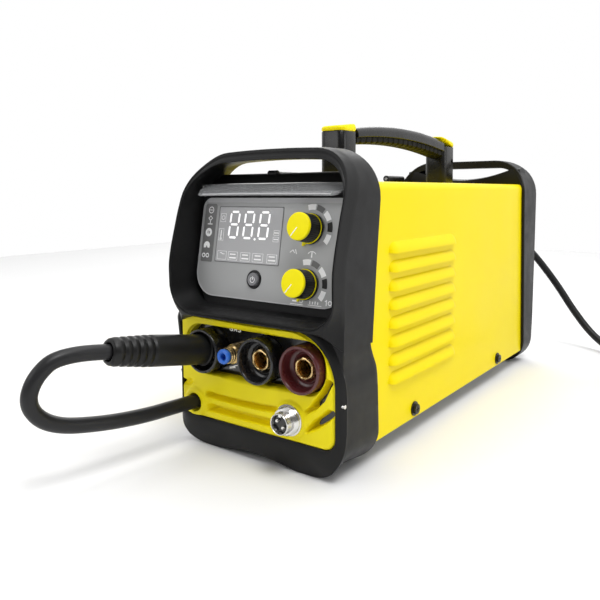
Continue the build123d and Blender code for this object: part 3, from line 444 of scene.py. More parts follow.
# ------------------------------------------------------------------ casing
def build_casing():
    """Roof and sides bent from one sheet. Section: outer outline up one side, over the roof and down
    the other, then back along the inside one sheet thickness in; it is carried from front to rear."""
    r = 7.0
    t = np.linspace(0, pi / 2, 9)

    def path(half, top, radius):
        """One side of the sheet from the left foot over the roof to the right foot."""
        left = np.stack([-(half - radius) - radius * np.cos(t), top - radius + radius * np.sin(t)], -1)
        right = left[::-1] * (-1, 1)
        return np.concatenate([[(-half, CASE_FOOT)], left, right, [(half, CASE_FOOT)]])

    outer = path(CASE_HALF, CASE_TOP, r)
    inner = path(CASE_HALF - SHEET, CASE_TOP - SHEET, r - SHEET)
    section = np.concatenate([outer, inner[::-1]])
    shell = skin([upright(section, y) for y in np.linspace(CASE_FRONT, CASE_REAR, 24)])
    casing = piece("casing_sheet", [shell], "casing_paint", stands_for=("casing_cover",))
    heights = [LOUVRE_TOP - LOUVRE_PITCH * i for i in range(LOUVRES)]
    slots = [box(72, 80, -131, -17, z + 0.4, z + 6.2) for z in heights]
    door = [box(-80, -72, -119, 159, 38, 200)]
    cut(casing, slots + door, "casing_paint", 30, smooth=True)
    soften(casing, 0.35, 60)
    piece("louvres", [louvre(z) for z in heights], "casing_paint", sharp=50)


def louvre(z):
    """One pressed louvre: across its height the profile leans out from the sheet to an open lower
    lip, and along its length the stand-off fades to the sheet on a quarter ellipse at each end."""
    y0, y1, high, out, wall = -135.6, -12.6, 9.4, 4.3, 0.9
    y = np.concatenate([y0 + 9 * (1 - np.cos(np.linspace(0, pi / 2, 10))),
                        np.linspace(y0 + 9, y1 - 9, 22)[1:-1],
                        y1 - 9 * (1 - np.sin(np.linspace(0, pi / 2, 10)))])
    reach = np.minimum(np.sqrt(np.clip(1 - ((y0 + 9 - y) / 9) ** 2, 0, 1)) * (y < y0 + 9) + (y >= y0 + 9),
                       np.sqrt(np.clip(1 - ((y - y1 + 9) / 9) ** 2, 0, 1)) * (y > y1 - 9) + (y <= y1 - 9))
    reach = np.maximum(reach, 0.04)[:, None]
    t = np.linspace(0, 1, 9)[None, :]
    rise = 0.25 + 0.75 * reach
    stand = np.cos(t * pi / 2) ** 0.8
    outer_x = CASE_HALF - 0.25 + (out + 0.25) * stand * reach
    outer_z = z + high * t * rise + 1.2 * (1 - rise)
    inner_x = CASE_HALF - 0.85 + np.maximum(out - wall, 0) * stand * reach
    inner_z = outer_z - 0.5 * t + 0.1
    x = np.concatenate([outer_x, inner_x[:, ::-1]], 1)
    zz = np.concatenate([outer_z, inner_z[:, ::-1]], 1)
    return skin(np.stack([x, np.repeat(y[:, None], x.shape[1], 1), zz], -1))


# ------------------------------------------------------------------ front moulding
SIDE, ARC = 26, 12


def hood_section():
    """Rows of the hood: wall of the opening, rounded nose, groove, bevel to the crease, side band to
    the rear edge, and back along the inside. Each row is an outline whose depth follows its height."""
    lip, crease, rear = (softened(t) for t in (HOOD_LIP, HOOD_CREASE, HOOD_REAR))

    def loop(half, low_z, high_z, low, high):
        """Outline centred on the machine, from half its width."""
        return outline(-half, half, low_z, high_z, low, high, ARC, SIDE)

    arch_top = circle(44, 197.5, 36, 23, 0, 90) + circle(-44, 197.5, 36, 23, 90, 180)
    chin = [(-80, 92.2), (-71, 98.2), (-57, 104.6), (-45, 107), (45, 107), (57, 104.6), (71, 98.2)]
    corner = dense(np.array([(80, 92.2), (80, 120)] + arch_top + [(-80, 120)] + chin, float), 0.8)
    nose = loop(78.9, 106.3, 232.6, 24.5, 34.9)
    edge = on_rays(corner, np.array([0.0, 165.0]), nose)

    def between(a, b, s):
        """The point at share s of the way from a to b."""
        return a + (b - a) * s

    rows = []
    mouth_deep = loop(76.0, 113.5, 224.5, 20, 30.5)
    mouth = loop(77.0, 110.0, 224.5, 19, 31)
    for s in np.linspace(0, 1, 5):
        shape = between(mouth_deep, mouth, s)
        deep = PANEL_Y + (shape[:, 1] - PANEL_Z) * np.tan(TILT) + 1.0
        rows.append((shape, deep + (at_height(lip, shape[:, 1]) + 1.4 - deep) * s))
    for inset, back in ((0.12, 0.75), (0.38, 0.35), (0.75, 0.25), (0.95, 0.75), (1.25, 0.75), (1.45, 0.2),
                        (1.75, 0.0), (2.1, 0.05)):
        shape = between(mouth, nose, min(1.0, inset / 2.1))
        rows.append((shape, at_height(lip, shape[:, 1]) + back))
    for s, out in ((0.0, 0.6), (0.04, 1.3), (0.12, 2.6), (0.35, None), (0.6, None), (0.85, None),
                   (0.965, None)):
        shape = between(nose, edge, min(1.0, 0.15 + s))
        near, far = at_height(lip, nose[:, 1]), at_height(crease, edge[:, 1])
        rows.append((shape, near + out if out else near + 2.6 + (far - near - 2.6) * s))
    rows.append((edge, at_height(crease, edge[:, 1]) + 0.35))
    back = at_height(rear, edge[:, 1])
    for s in (0.02, 0.08, 0.3, 0.6, 0.9, 0.985):
        rows.append((edge, at_height(crease, edge[:, 1]) * (1 - s) + back * s + 0.35))
    within = loop(77.2, 114.0, 225.6, 22, 31)
    thin = on_rays(dense(within, 0.8), np.array([0.0, 165.0]), nose)
    rows.append((between(edge, thin, 0.25), back + 0.6))
    rows.append((between(edge, thin, 0.9), back + 0.6))
    rows.append((thin, back - 0.3))
    rows.append((thin, back * 0.5 + 0.5 * (PANEL_Y + 6)))
    rows.append((between(mouth_deep, thin, 0.5),
                 np.full(len(thin), PANEL_Y + 8) + (thin[:, 1] - PANEL_Z) * 0.17))
    return [(crowned(shape), depth) for shape, depth in rows]


def crowned(shape):
    """The hood's arch with a slight crown: its height grows by a parabola of the distance from the middle."""
    x, z = shape.T
    return np.stack([x, z + 2.3 * ease(z, 205, 226) * np.clip(1 - (x / 64) ** 2, 0, 1)], -1)


def frame_section():
    """Rows of the lower frame round the insert: wall beside the insert, rounded bevel out to the
    crease, flat shoulder, side with a shallow waist, rear edge, and back inside."""
    centre = np.array([2.0, 62.0])
    seen = arch(outline(-79.4, 79.4, 0, 112, 27, 3.0, ARC, 40))

    def rays(shape):
        """An outline's points in the directions of the opening's points."""
        return on_rays(dense(shape, 0.5), centre, seen)

    inner = rays(insert_outline(0.25))
    crease = np.array(circle(35.4, 66.0, 44.6, 19, 0, 90) + [(-60, 110.6)]
                      + circle(-69, 99.6, 11, 19, 90, 180) + [(-80, 40)])
    foot = arch(outline(-79.9, 79.9, 0.4, 200, 27.5, 3, 20, 60))
    low = foot[foot[:, 1] < 40]
    low = low[np.argsort(np.arctan2(low[:, 1] - centre[1], low[:, 0] - centre[0]))]
    crease = rays(np.concatenate([crease, low]))
    edge_y = np.interp(crease[:, 1], [0, 6, 12, 24, 36, 60, 75, 88, 100, 112],
                       [-203.5, -206.2, -206.6, -203.4, -201.0, -200.6, -202.2, -205.0, -206.6, -207])
    side_x = np.interp(seen[:, 1], [0, 60, 68, 75, 82, 90, 112], [0, 0, 0.25, 1.15, 1.35, 0.75, 0.5])
    waist = seen - np.stack([np.sign(seen[:, 0]) * side_x * (np.abs(seen[:, 0]) > 60), 0 * side_x], -1)
    waist[:, 1] += 5.0 * (1 - ease(waist[:, 1], 5, 30))
    rows = [(inner, np.full(len(seen), -199.5)), (inner, np.full(len(seen), -206.6))]
    for s, y in ((0.06, -207.3), (0.14, -207.6)):
        rows.append((inner + (crease - inner) * s, np.full(len(seen), y)))
    for s in (0.3, 0.46, 0.62, 0.76, 0.88, 0.96):
        bow = 1.1 * np.sin(pi * s)
        rows.append((inner + (crease - inner) * s, -207.7 * (1 - s) + edge_y * s - bow))
    rows.append((crease, edge_y))
    shoulder = np.maximum(edge_y + 1.2,
                          np.interp(seen[:, 1], [0, 20, 92, 112], [-201.6, -199.6, -203.6, -203.6]))
    rows.append((crease + (waist - crease) * 0.2, np.maximum(edge_y + 0.7, shoulder - 0.4)))
    rows.append((crease + (waist - crease) * 0.92, shoulder))
    rows.append((waist, shoulder + 0.6))
    rear = at_height(softened(FRAME_REAR, 4.0), seen[:, 1])
    for s in (0.04, 0.2, 0.45, 0.7, 0.9, 0.985):
        drop = np.stack([0 * seen[:, 0], 5.0 * s * (1 - ease(seen[:, 1], 5, 30))], -1)
        rows.append((waist - drop, (shoulder + 0.6) * (1 - s) + rear * s))
    hollow = rays(arch(outline(-77.0, 77.0, 2.6, 110, 25, 2.0, ARC, 40)))
    rows.append((waist - drop + (hollow - waist + drop) * 0.3, rear + 0.5))
    rows.append((waist - drop + (hollow - waist + drop) * 0.9, rear + 0.5))
    rows.append((hollow, rear - 0.4))
    rows.append((hollow, np.full(len(seen), -197.5)))
    return rows


def build_front():
    """Hood, lower frame and the tilted bulkhead between them."""
    hood = [upright(shape, y) for shape, y in hood_section()]
    piece("front_hood", [skin(hood, run_closed=True)], "bumper_plastic", stands_for=("front_bumper",),
          sharp=32)
    lower = [upright(shape, y) for shape, y in frame_section()]
    piece("front_frame", [skin(lower, run_closed=True)], "bumper_plastic", sharp=32)
    piece("front_bulkhead", [bulkhead(), hinge_bump()], "bumper_plastic", sharp=32)
    softened_copy("bumper_screws", "nickel", bevel=0.15)


def bulkhead():
    """Wall behind the panel and the shelf over it: one section in depth and height, as wide at each
    height as the opening there, carried from left to right."""
    low = [(PANEL_Y + v * sin(TILT), PANEL_Z + v * cos(TILT)) for v in (-51, -20, 10, 39.5)]
    shelf = [(-178.6, 199.6), (-177.0, 201.6), (-174.4, 204.4), (-169.6, 210.4), (-165.6, 215.4),
             (-164.0, 216.8), (-162.0, 217.3), (-160.8, 216.6)]
    back = [(-160.8, 211.0), (-166, 210.6), (-170.6, 206.0), (-174, 196), (-181.5, 150), (-188, 112)]
    loop = np.array(low + shelf + back, float)
    y, z = loop.T
    half = np.where(z < 133, 58 + np.sqrt(np.clip(19 ** 2 - np.clip(129.5 - z, 0, 19) ** 2, 0, None)), 77.0)
    half = np.where(z > 194, 46 + np.sqrt(np.clip(31 ** 2 - np.clip(z - 193.5, 0, 31) ** 2, 0, None)),
                    half) + 0.7
    u = np.linspace(-1, 1, 25)[:, None]
    return skin(np.stack([u * half, np.broadcast_to(y, (25, len(y))), np.broadcast_to(z, (25, len(z)))], -1))


def hinge_bump():
    """Small raised stop on the shelf's rear edge."""
    return lathe([(0.01, -5), (1.6, -5), (2.2, -4.2), (2.2, 4.2), (1.6, 5), (0.01, 5)], (-13, -163.0, 217.4),
                 (1, 0, 0), 24)


def insert_outline(grow=0.0):
    """Connector insert from the front: three small corners and one of 38 at the upper right."""
    left, right, low, high = -73.9 - grow, 73.9 + grow, 24.0 - grow, 104.6 + grow
    corners = ((right - 9, low + 9, 9, -90), (right - 38, high - 38, 38, 0), (left + 4, high - 4, 4, 90),
               (left + 7, low + 7, 7, 180))
    loop = []
    for cx, cz, r, s in corners:
        k = np.radians(s + np.linspace(0, 90, 22))
        loop.append(np.stack([cx + r * np.cos(k), cz + r * np.sin(k)], -1))
    return np.concatenate(loop)


def to_lines(x, z, lines):
    """Distance from each point to the nearest of some polylines."""
    best = np.full(x.shape, 1e9)
    for line in lines:
        for (ax, az), (bx, bz) in zip(line[:-1], line[1:]):
            dx, dz = bx - ax, bz - az
            s = np.clip(((x - ax) * dx + (z - az) * dz) / (dx * dx + dz * dz), 0, 1)
            best = np.minimum(best, np.hypot(x - ax - s * dx, z - az - s * dz))
    return best


def ease(value, low, high):
    """Smooth step from 0 to 1 between two values."""
    s = np.clip((value - low) / (high - low), 0, 1)
    return s * s * (3 - 2 * s)


def insert_depth(x, z, edge):
    """How far the insert's surface lies behind its face: smooth grooves along lines, two open
    crescents, round bosses that stand out, and rounded borders, joined by smooth steps."""
    bar_line = [(-45, 43.3), (-20, 42.9), (10, 43.6), (24, 44.6)]
    bar_low = [(-45, 33.0), (24, 33.4)]
    side_line = [(-74, 49.6), (-69, 48.6), (-64, 50.4)]
    curve_high = [(50.5, 47.6), (57, 53.2), (64, 60.4), (69.6, 71.5)]
    curve_low = [(51, 35.0), (58, 40.2), (65, 45.2), (70.5, 50.4)]
    depth = 7.4 * (1 - ease(to_lines(x, z, [bar_line]), 1.4, 2.9))
    depth = np.maximum(depth, 7.6 * (1 - ease(to_lines(x, z, [bar_low]), 1.9, 3.7)))
    depth = np.maximum(depth, 3.6 * (1 - ease(to_lines(x, z, [side_line]), 0.4, 3.4)))
    far = ease(x, 52, 60)
    depth = np.maximum(depth,
                       (5.5 + 8 * far) * (1 - ease(to_lines(x, z, [curve_high]), 0.8, 1.9 + 1.5 * far)))
    depth = np.maximum(depth, (5.5 + 8 * far) * (1 - ease(to_lines(x, z, [curve_low]), 0.8, 2.3 + 1.6 * far)))
    boss = np.hypot(x - LEAD[0], z - LEAD[1])
    depth = np.where(boss < 16, depth * ease(boss, 11.5, 15.5) - 2.2 * (1 - ease(boss, 9.4, 12.6)), depth)
    depth = np.where(boss < 8.4, depth + 9 * (1 - ease(boss, 6.3, 7.4)), depth)
    boss = np.hypot(x - TRIGGER[0], z - TRIGGER[1])
    depth = np.where(boss < 17.5, depth * ease(boss, 13.2, 17.0) - 2.3 * (1 - ease(boss, 11.4, 14.4)), depth)
    depth = np.where(boss < 9.6, depth + 13 * (1 - ease(boss, 7.9, 9.0)), depth)
    return depth + 2.0 * (1 - ease(edge, 0.0, 2.2))


def build_insert():
    """Yellow insert. Its face is a height field on rays from the socket window's outline to the outer
    outline; the same rows turn back along both edges and close behind."""
    centre = np.array([2.0, 79.0])
    outer = dense(insert_outline(), 0.62)
    window = on_rays(dense(outline(-67.5, 66.5, 60.5, 98.5, 16.5, 16.5, 24), 0.3), centre, outer)
    s = np.concatenate([[0, 0.015, 0.04], np.linspace(0.07, 0.965, 78), [0.985, 1.0]])[:, None, None]
    flat = window + (outer - window) * s
    gap_in = np.hypot(*(flat - window).transpose(2, 0, 1))
    gap_out = np.hypot(*(flat - outer).transpose(2, 0, 1))
    depth = insert_depth(flat[..., 0], flat[..., 1], np.minimum(gap_in, gap_out))
    y = np.minimum(INSERT_FACE + depth, -197.6)
    face = np.stack([flat[..., 0], y, flat[..., 1]], -1)
    rear_in, rear_out = upright(window, -197.0), upright(outer, -197.0)
    rings = np.concatenate([rear_in[None], face, rear_out[None]])
    piece("insert_yellow", [skin(rings, run_closed=True)], "insert_plastic", stands_for=("connector_insert",),
          sharp=60)
    softened_copy("connector_plate", "gloss_black", bevel=0.3)


# ------------------------------------------------------------------ connectors
LETTERS = {"G": [(2.9, 0.4), (2.0, 0.9), (0.6, 0.7), (0.0, -0.6), (0.3, -2.0), (1.5, -2.6), (2.8, -2.2),
                 (2.8, -1.1), (1.8, -1.1)],
           "A": [(0, -2.5), (1.4, 0.8), (2.8, -2.5), (2.3, -1.4), (0.5, -1.4)],
           "S": [(2.6, 0.5), (1.6, 0.9), (0.4, 0.6), (0.3, -0.3), (2.3, -1.3), (2.5, -2.1), (1.3, -2.6),
                 (0, -2.2)]}


def hexagon(rows, width):
    """Radius factor that makes the first rows a hexagon with soft corners: the distance to its sides,
    times a width, but never more than 1."""
    def factor(row, a):
        """The factor at a row and an angle."""
        six = cos(pi / 6) / np.cos((a + pi / 6) % (pi / 3) - pi / 6)
        return np.where(row < rows, np.minimum(six * width, 1.0), 1.0)
    return factor


def build_sockets():
    """Three cups turned about their axes, each with a hexagonal brass contact inside."""
    cup = [(8.3, 12), (10.8, 12), (10.8, 0), (17.0, 0), (17.4, -0.6), (17.4, -13.6), (17.1, -14.5),
           (16.5, -14.95), (15.8, -15), (15.2, -14.6), (14.9, -13.8), (14.75, -10), (14.3, -6.2),
           (13.6, -5.0), (11.6, -4.4), (11.0, -4.9), (10.4, -4.9), (9.9, -4.2), (8.9, -3.9), (8.3, -3.4)]
    contact = [(7.95, -3.1), (8.25, -3.6), (8.25, -7.3), (7.9, -7.9), (7.3, -8.15), (6.5, -7.9),
               (6.05, -7.2), (6.0, 5), (6.0, 17), (8.1, 17), (8.1, -2.9)]
    for side, x in SOCKETS.items():
        colour = "maroon_plastic" if side == "right" else "socket_plastic"
        at = (x, PLATE_FACE, SOCKET_Z)
        piece("socket_cup_" + side, [lathe(cup, at, (0, 1, 0), 96, closed=True)], colour,
              stands_for=("socket_shell_" + side,), sharp=50)
        inside = lathe(contact, at, (0, 1, 0), 96, closed=True, ripple=hexagon(5, 1.09))
        piece("socket_contact_" + side, [inside], "brass",
              stands_for=("socket_insert_" + side,), sharp=35)
    gas_outlet()
    trigger_socket()
    marks = []
    for letter, x in (("G", -29.0), ("A", -24.6), ("S", -20.3)):
        marks += stroke([(x + a, 97.3 + b) for a, b in LETTERS[letter]], 0.62, 0.0, 0.12, on_plate)
    torch = [(-27, 66.2), (-24.0, 67.4), (-20, 68.3), (-16.5, 67.0), (-14.2, 64.3)]
    marks += stroke(torch, 0.75, 0.0, 0.12, on_plate)
    marks += stroke([(-29.2, 65.2), (-24.6, 66.2)], 1.5, 0.0, 0.12, on_plate)
    marks += stroke([(-13.9, 63.6), (-13.2, 61.8)], 0.45, 0.0, 0.12, on_plate)
    piece("plate_marks", marks, "print_white_painted_glow")


def gas_outlet():
    """Push-in coupling: hexagon, ringed neck and blue collar, all turned about one axis."""
    at = (GAS[0], PLATE_FACE, GAS[1])
    body = [(7.2, 0), (7.7, -0.5), (7.7, -6.9), (7.1, -7.5), (6.3, -7.6), (5.7, -8.2), (6.2, -8.8),
            (6.2, -10.4), (5.6, -11.0), (6.2, -11.6), (6.2, -13.0), (5.8, -13.5), (4.7, -13.5), (4.7, -6.2),
            (2.5, -6.0), (2.5, 13.8), (4.9, 13.8), (4.9, 0.0)]
    piece("gas_coupling", [lathe(body, at, (0, 1, 0), 72, closed=True, ripple=hexagon(4, 1.1))], "brass",
          stands_for=("gas_fitting_body",), sharp=35)
    collar = [(4.5, -8.1), (4.5, -14.9), (5.2, -15.0), (5.7, -15.4), (5.7, -17.2), (5.3, -17.85),
              (4.6, -18.0), (3.4, -17.8), (2.9, -17.2), (2.65, -16), (2.65, -8.1)]
    piece("gas_collar", [lathe(collar, at, (0, 1, 0), 64, closed=True)], "collar_blue", "collet_body",
          ("gas_fitting_collet",), sharp=50)


def trigger_socket():
    """Threaded shell, its radius a helix of ridges, with an insulator and two contact pins."""
    at = (TRIGGER[0], PLATE_FACE, TRIGGER[1])
    h = np.linspace(-23.2, -9.0, 58)
    rear = [(7.9, -8.5), (7.9, 2.9), (6.7, 2.9), (6.7, -22.9), (7.0, -23.5)]
    barrel = [(7.5, -23.5)] + [(7.62, k) for k in h] + rear

    def thread(row, a):
        """Helix: a sine of the height in turns plus the angle, on the barrel's rows only."""
        height = np.interp(row, np.arange(len(barrel)), [k[1] for k in barrel])
        wave = 0.5 + 0.5 * np.cos(2 * pi * height / 1.25 + a)
        return 1 + 0.036 * wave * ((row > 1) & (row < 57))

    flange = [(7.95, -11.4), (11.2, -11.4), (11.6, -11.9), (11.4, -12.6), (10.3, -12.9)]
    flange += [(10.2 - 0.28 * (k % 2), -13.4 - 0.42 * k) for k in range(10)] + [(9.4, -17.9), (7.95, -18.0)]
    piece("trigger_shell", [lathe(barrel, at, (0, 1, 0), 72, closed=True, ripple=thread),
                            lathe(flange, at, (0, 1, 0), 60, closed=True)], "nickel",
          stands_for=("trigger_socket_shell",), sharp=40)
    core = [(0.01, 3), (6.5, 3), (6.5, -20.0), (6.1, -20.5), (0.01, -20.5)]
    piece("trigger_insulator", [lathe(core, at, (0, 1, 0), 48)], "gloss_black",
          stands_for=("trigger_socket_insulator",), sharp=40)
    pins = []
    for dx, dz in ((-2.7, 1.9), (2.4, -2.2)):
        pins.append(lathe([(0.01, -20), (1.25, -20), (1.25, -22.3), (0.8, -22.9), (0.01, -23.0)],
                          (at[0] + dx, at[1], at[2] + dz), (0, 1, 0), 20))
    tab = ((-1.2, 5.0), (1.2, 5.0), (1.2, 6.6), (-1.2, 6.6))
    pins.append(skin([[(at[0] + x, PLATE_FACE + y, at[2] + z) for x, z in tab] for y in (-20.2, -22.6)]))
    piece("trigger_pins", pins, "nickel", sharp=40)


# ------------------------------------------------------------------ control panel
def build_panel():
    """Panel film, display, graphics, button, visor and both knobs."""
    def film(inset):
        """The film's outline, smaller by an inset."""
        return outline(-73 + inset, 73 - inset, -41.5 + inset, 38 - inset, 20 - inset, 8 - inset, 14)

    t = np.linspace(0, pi / 2, 4)
    rows = [on_panel(*film(0.6 * (1 - sin(k))).T, 0.6 * (1 - cos(k))) for k in t]
    rows += [on_panel(*film(0.6 * (1 - cos(k))).T, 1.0 + 0.6 * sin(k)) for k in t]
    panel = piece("panel_film", [skin(rows)], "panel_film", stands_for=("control_fascia",),
                  sharp=40)
    holes = [skin([on_panel(*np.array(circle(KNOB_X, v, 3.8)[:-1]).T, w) for w in (-1, 3)])
             for v in KNOB_V.values()]
    holes.append(skin([on_panel(*np.array(circle(*BUTTON, 7.3, 40)[:-1]).T, w) for w in (-1, 3)]))
    cut(panel, holes, "panel_film", 40)
    trim = [film(-0.1), film(-0.1), film(0.75), film(0.75)]
    piece("panel_rim", [skin([on_panel(*s.T, w) for s, w in zip(trim, (0.3, 1.75, 1.75, 0.3))],
                             run_closed=True)], "panel_light", sharp=50)
    band = outline(-69, 69, 34.4, 37.2, 1.2, 1.2, 6)
    piece("panel_band", [skin([on_panel(*band.T, w) for w in (1.5, 1.8)])], "panel_light")
    strip = outline(-70.5, -57.6, -14.5, 33.2, 1.2, 2.5, 6)
    piece("panel_icon_strip", [skin([on_panel(*strip.T, w) for w in (1.5, 1.72)])], "panel_dark")
    display()
    knob_marks()
    icons()
    bezel = [(5.4, -3.0), (5.4, 2.1), (5.8, 2.6), (6.6, 2.6), (7.2, 2.0), (7.2, -3.0)]
    at, out = on_panel(*BUTTON, 0.0), (0, -cos(TILT), sin(TILT))
    piece("button_ring", [lathe(bezel, at, out, 56, closed=True)], "knob_black", stands_for=("button_bezel",),
          sharp=50)
    cap = [(0.01, -5.6), (6.5, -5.6), (6.5, -3.4), (5.15, -3.3), (5.15, 3.2), (4.7, 3.9), (3.6, 3.75),
           (0.01, 3.45)]
    piece("button_cap", [lathe(cap, at, out, 48)], "button_grey", "button_body", ("mode_button",),
          sharp=50)
    sign = stroke([(-11, -23.4), (-11, -25.6)], 0.5, 3.5, 3.72)
    sign += stroke(circle(-11, -25.8, 2.1, 16, 125, 415), 0.45, 3.5, 3.72)
    piece("button_sign", sign, "print_white_painted_glow", "button_body")
    build_visor()
    for place, v in KNOB_V.items():
        build_knob(place, v)
    for node, colour in (("control_board", "board_green"), ("potentiometer_upper", "zinc_steel"),
                         ("potentiometer_lower", "zinc_steel")):
        softened_copy(node, colour, bevel=0.25)


def display():
    """Window with its border, three seven-segment figures with a point, and rows of small boxes."""
    glass = outline(-54.4, 11.4, -13.6, 30.9, 1.0, 1.0, 4)
    piece("display_pane", [skin([on_panel(*glass.T, w) for w in (0.2, 1.75)])], "display_glass",
          stands_for=("display_window",))
    border = [outline(-54.4 + k, 11.4 - k, -13.6 + k, 30.9 - k, 1.0, 1.0, 4)
              for k in (-0.3, -0.3, 0.35, 0.35)]
    piece("display_border", [skin([on_panel(*s.T, w) for s, w in zip(border, (1.55, 1.85, 1.85, 1.55))],
                                  run_closed=True)], "print_grey")
    lit_up, half = [], 0.82
    low, high, figure_high = 1.74, 1.82, 1.86
    lean = 0.05
    for x in (-37.2, -21.9, -6.4):
        for v0, v1 in ((18.3, 25.4), (7.6, 15.0)):
            for dx in (-4.4, 4.4):
                a, b = x + dx + (v0 - 16.6) * lean, x + dx + (v1 - 16.6) * lean
                lit_up.append(prism([(a - half, v0 + 0.4), (a, v0 - 0.3), (a + half, v0 + 0.4),
                                     (b + half, v1 - 0.4), (b, v1 + 0.3), (b - half, v1 - 0.4)], low,
                                    figure_high))
        for v in (26.8, 16.7, 6.2):
            c = x + (v - 16.6) * lean
            lit_up.append(prism([(c - 3.0, v - 0.8), (c + 3.0, v - 0.8), (c + 3.5, v), (c + 3.0, v + 0.8),
                                 (c - 3.0, v + 0.8), (c - 3.5, v)], low, figure_high))
    lit_up.append(prism(circle(-14.4, 5.6, 0.95, 12)[:-1], low, figure_high))
    piece("display_figures", lit_up, "segment_white")
    faint = []
    for x, v, w, h in ((-49.6, 21.9, 5.4, 6.6), (-50.2, 8.2, 5.0, 9.4), (6.6, 11.2, 5.0, 3.6),
                       (6.4, 6.2, 5.2, 3.6), (-47.2, -8.4, 9.6, 6.6), (-35.4, -8.5, 9.6, 6.6),
                       (-22.4, -8.6, 9.6, 6.6), (-9.6, -8.7, 10.4, 6.6), (4.4, -8.8, 9.2, 6.6)):
        faint += stroke([(x - w / 2, v - h / 2), (x + w / 2, v - h / 2), (x + w / 2, v + h / 2),
                         (x - w / 2, v + h / 2), (x - w / 2, v - h / 2)], 0.28, low, high)
    for x in (-35.4, -22.4, -9.6, 4.4):
        faint += stroke([(x - 2.6, -7.2), (x + 2.4, -7.2)], 0.95, low, high)
        faint += stroke([(x - 3.0, -10.0), (x + 3.0, -10.0)], 1.1, low, high)
    faint += stroke([(-49.2, -6.6), (-47.6, -6.6), (-46.8, -7.4), (-44.6, -7.4)], 0.55, low, high)
    faint += stroke(circle(-49.6, 21.9, 1.6, 12), 0.4, low, high)
    faint += stroke([(-50.4, 5.2), (-50.4, 11.4)], 0.95, low, high)
    faint += stroke(circle(-50.4, 5.0, 0.8, 10), 0.8, low, high)
    faint += stroke([(4.8, 11.2), (8.2, 11.2)], 0.8, low, high)
    faint += stroke([(4.8, 6.2), (8.2, 6.2)], 0.8, low, high)
    piece("display_labels", faint, "print_white_painted_glow")


def knob_marks():
    """Dial segments round each knob, and a small sign beside and below it."""
    white, grey, black = [], [], []
    low, high = 1.5, 1.74
    for v in KNOB_V.values():
        for angle, wide, group in ((94, 24, white), (66, 24, grey), (36, 24, white), (6, 24, black),
                                   (-25, 24, white)):
            group.append(prism(sector(KNOB_X, v, 14.2, 18.4, angle - wide / 2, angle + wide / 2), low, high))
        left = stroke([(KNOB_X - 17.2, v - 17.8), (KNOB_X - 14.8, v - 16.0), (KNOB_X - 13.2, v - 18.0)], 0.6,
                      low, high)
        left += stroke([(KNOB_X - 12.4, v - 15.8), (KNOB_X - 11.4, v - 18.6)], 0.7, low, high)
        right = stroke(circle(KNOB_X + 2.6, v - 20.6, 4.2, 8, 40, 140), 0.6, low, high)
        right += stroke([(KNOB_X + 2.6, v - 17.4), (KNOB_X + 2.6, v - 20.4)], 1.0, low, high)
        if v > 0:
            white += left + right
        else:
            white += stroke([(26.0, -40.2), (37.0, -40.2)], 0.45, low, high)
            white += stroke([(28.0, -38.0), (31.0, -38.0)], 1.1, low, high)
            white += stroke([(34.0, -37.2), (34.6, -38.8), (36.4, -38.8), (36.8, -37.2)], 0.5, low, high)
            white += stroke([(42.0, -39.8), (53.5, -39.8)], 0.45, low, high)
            for k in range(4):
                white += stroke([(43.4 + 2.3 * k, -38.6), (43.4 + 2.3 * k, -37.2 - 0.4 * (k % 2))], 0.9, low,
                                high)
            white += stroke([(56.6, -36.0), (57.6, -35.2), (57.6, -38.8)], 0.7, low, high)
            white += stroke(circle(60.6, -37.0, 1.4, 12), 0.7, low, high)
    piece("dial_white", white, "print_white_painted_glow")
    piece("dial_grey", grey, "print_grey")
    piece("dial_black", black, "print_black")


def icons():
    """Column of plain symbols at the left: a hand, a mask, a mark for current, a hood, a fan."""
    top, out = 1.66, 1.8
    shapes = stroke(circle(-63.9, 28.0, 2.5, 20), 0.6, top, out)
    shapes += stroke([(-65.2, 28.0), (-62.6, 28.0)], 0.6, top, out)
    shapes += stroke([(-66, 21.2), (-63.9, 23.0), (-61.8, 21.2), (-63.9, 19.4), (-66, 21.2)], 0.55, top, out)
    shapes += stroke([(-66.2, 16.4), (-61.6, 16.4)], 0.7, top, out)
    shapes += stroke([(-63.9, 19.2), (-63.9, 17.2)], 0.6, top, out)
    shapes += [prism(sector(-64.4, 9.6, 1.5, 3.5, a, a + 176, 14), top, out) for a in (92, 272)]
    shapes += stroke([(-64.4, 11.4), (-64.4, 8.2)], 0.8, top, out)
    hood = [(-68.3, -3.2), (-66.4, -3.2), (-65.1, -1.2), (-63.8, -3.2), (-61.9, -3.2)]
    shapes += [prism(circle(-65.1, -1.4, 3.4, 14, 0, 180) + hood, top, out)]
    for dx in (-2.1, 2.1):
        shapes += stroke(circle(-65.4 + dx, -9.4, 1.5, 12), 0.75, top, out)
    piece("panel_icons", shapes, "print_white_painted_glow")


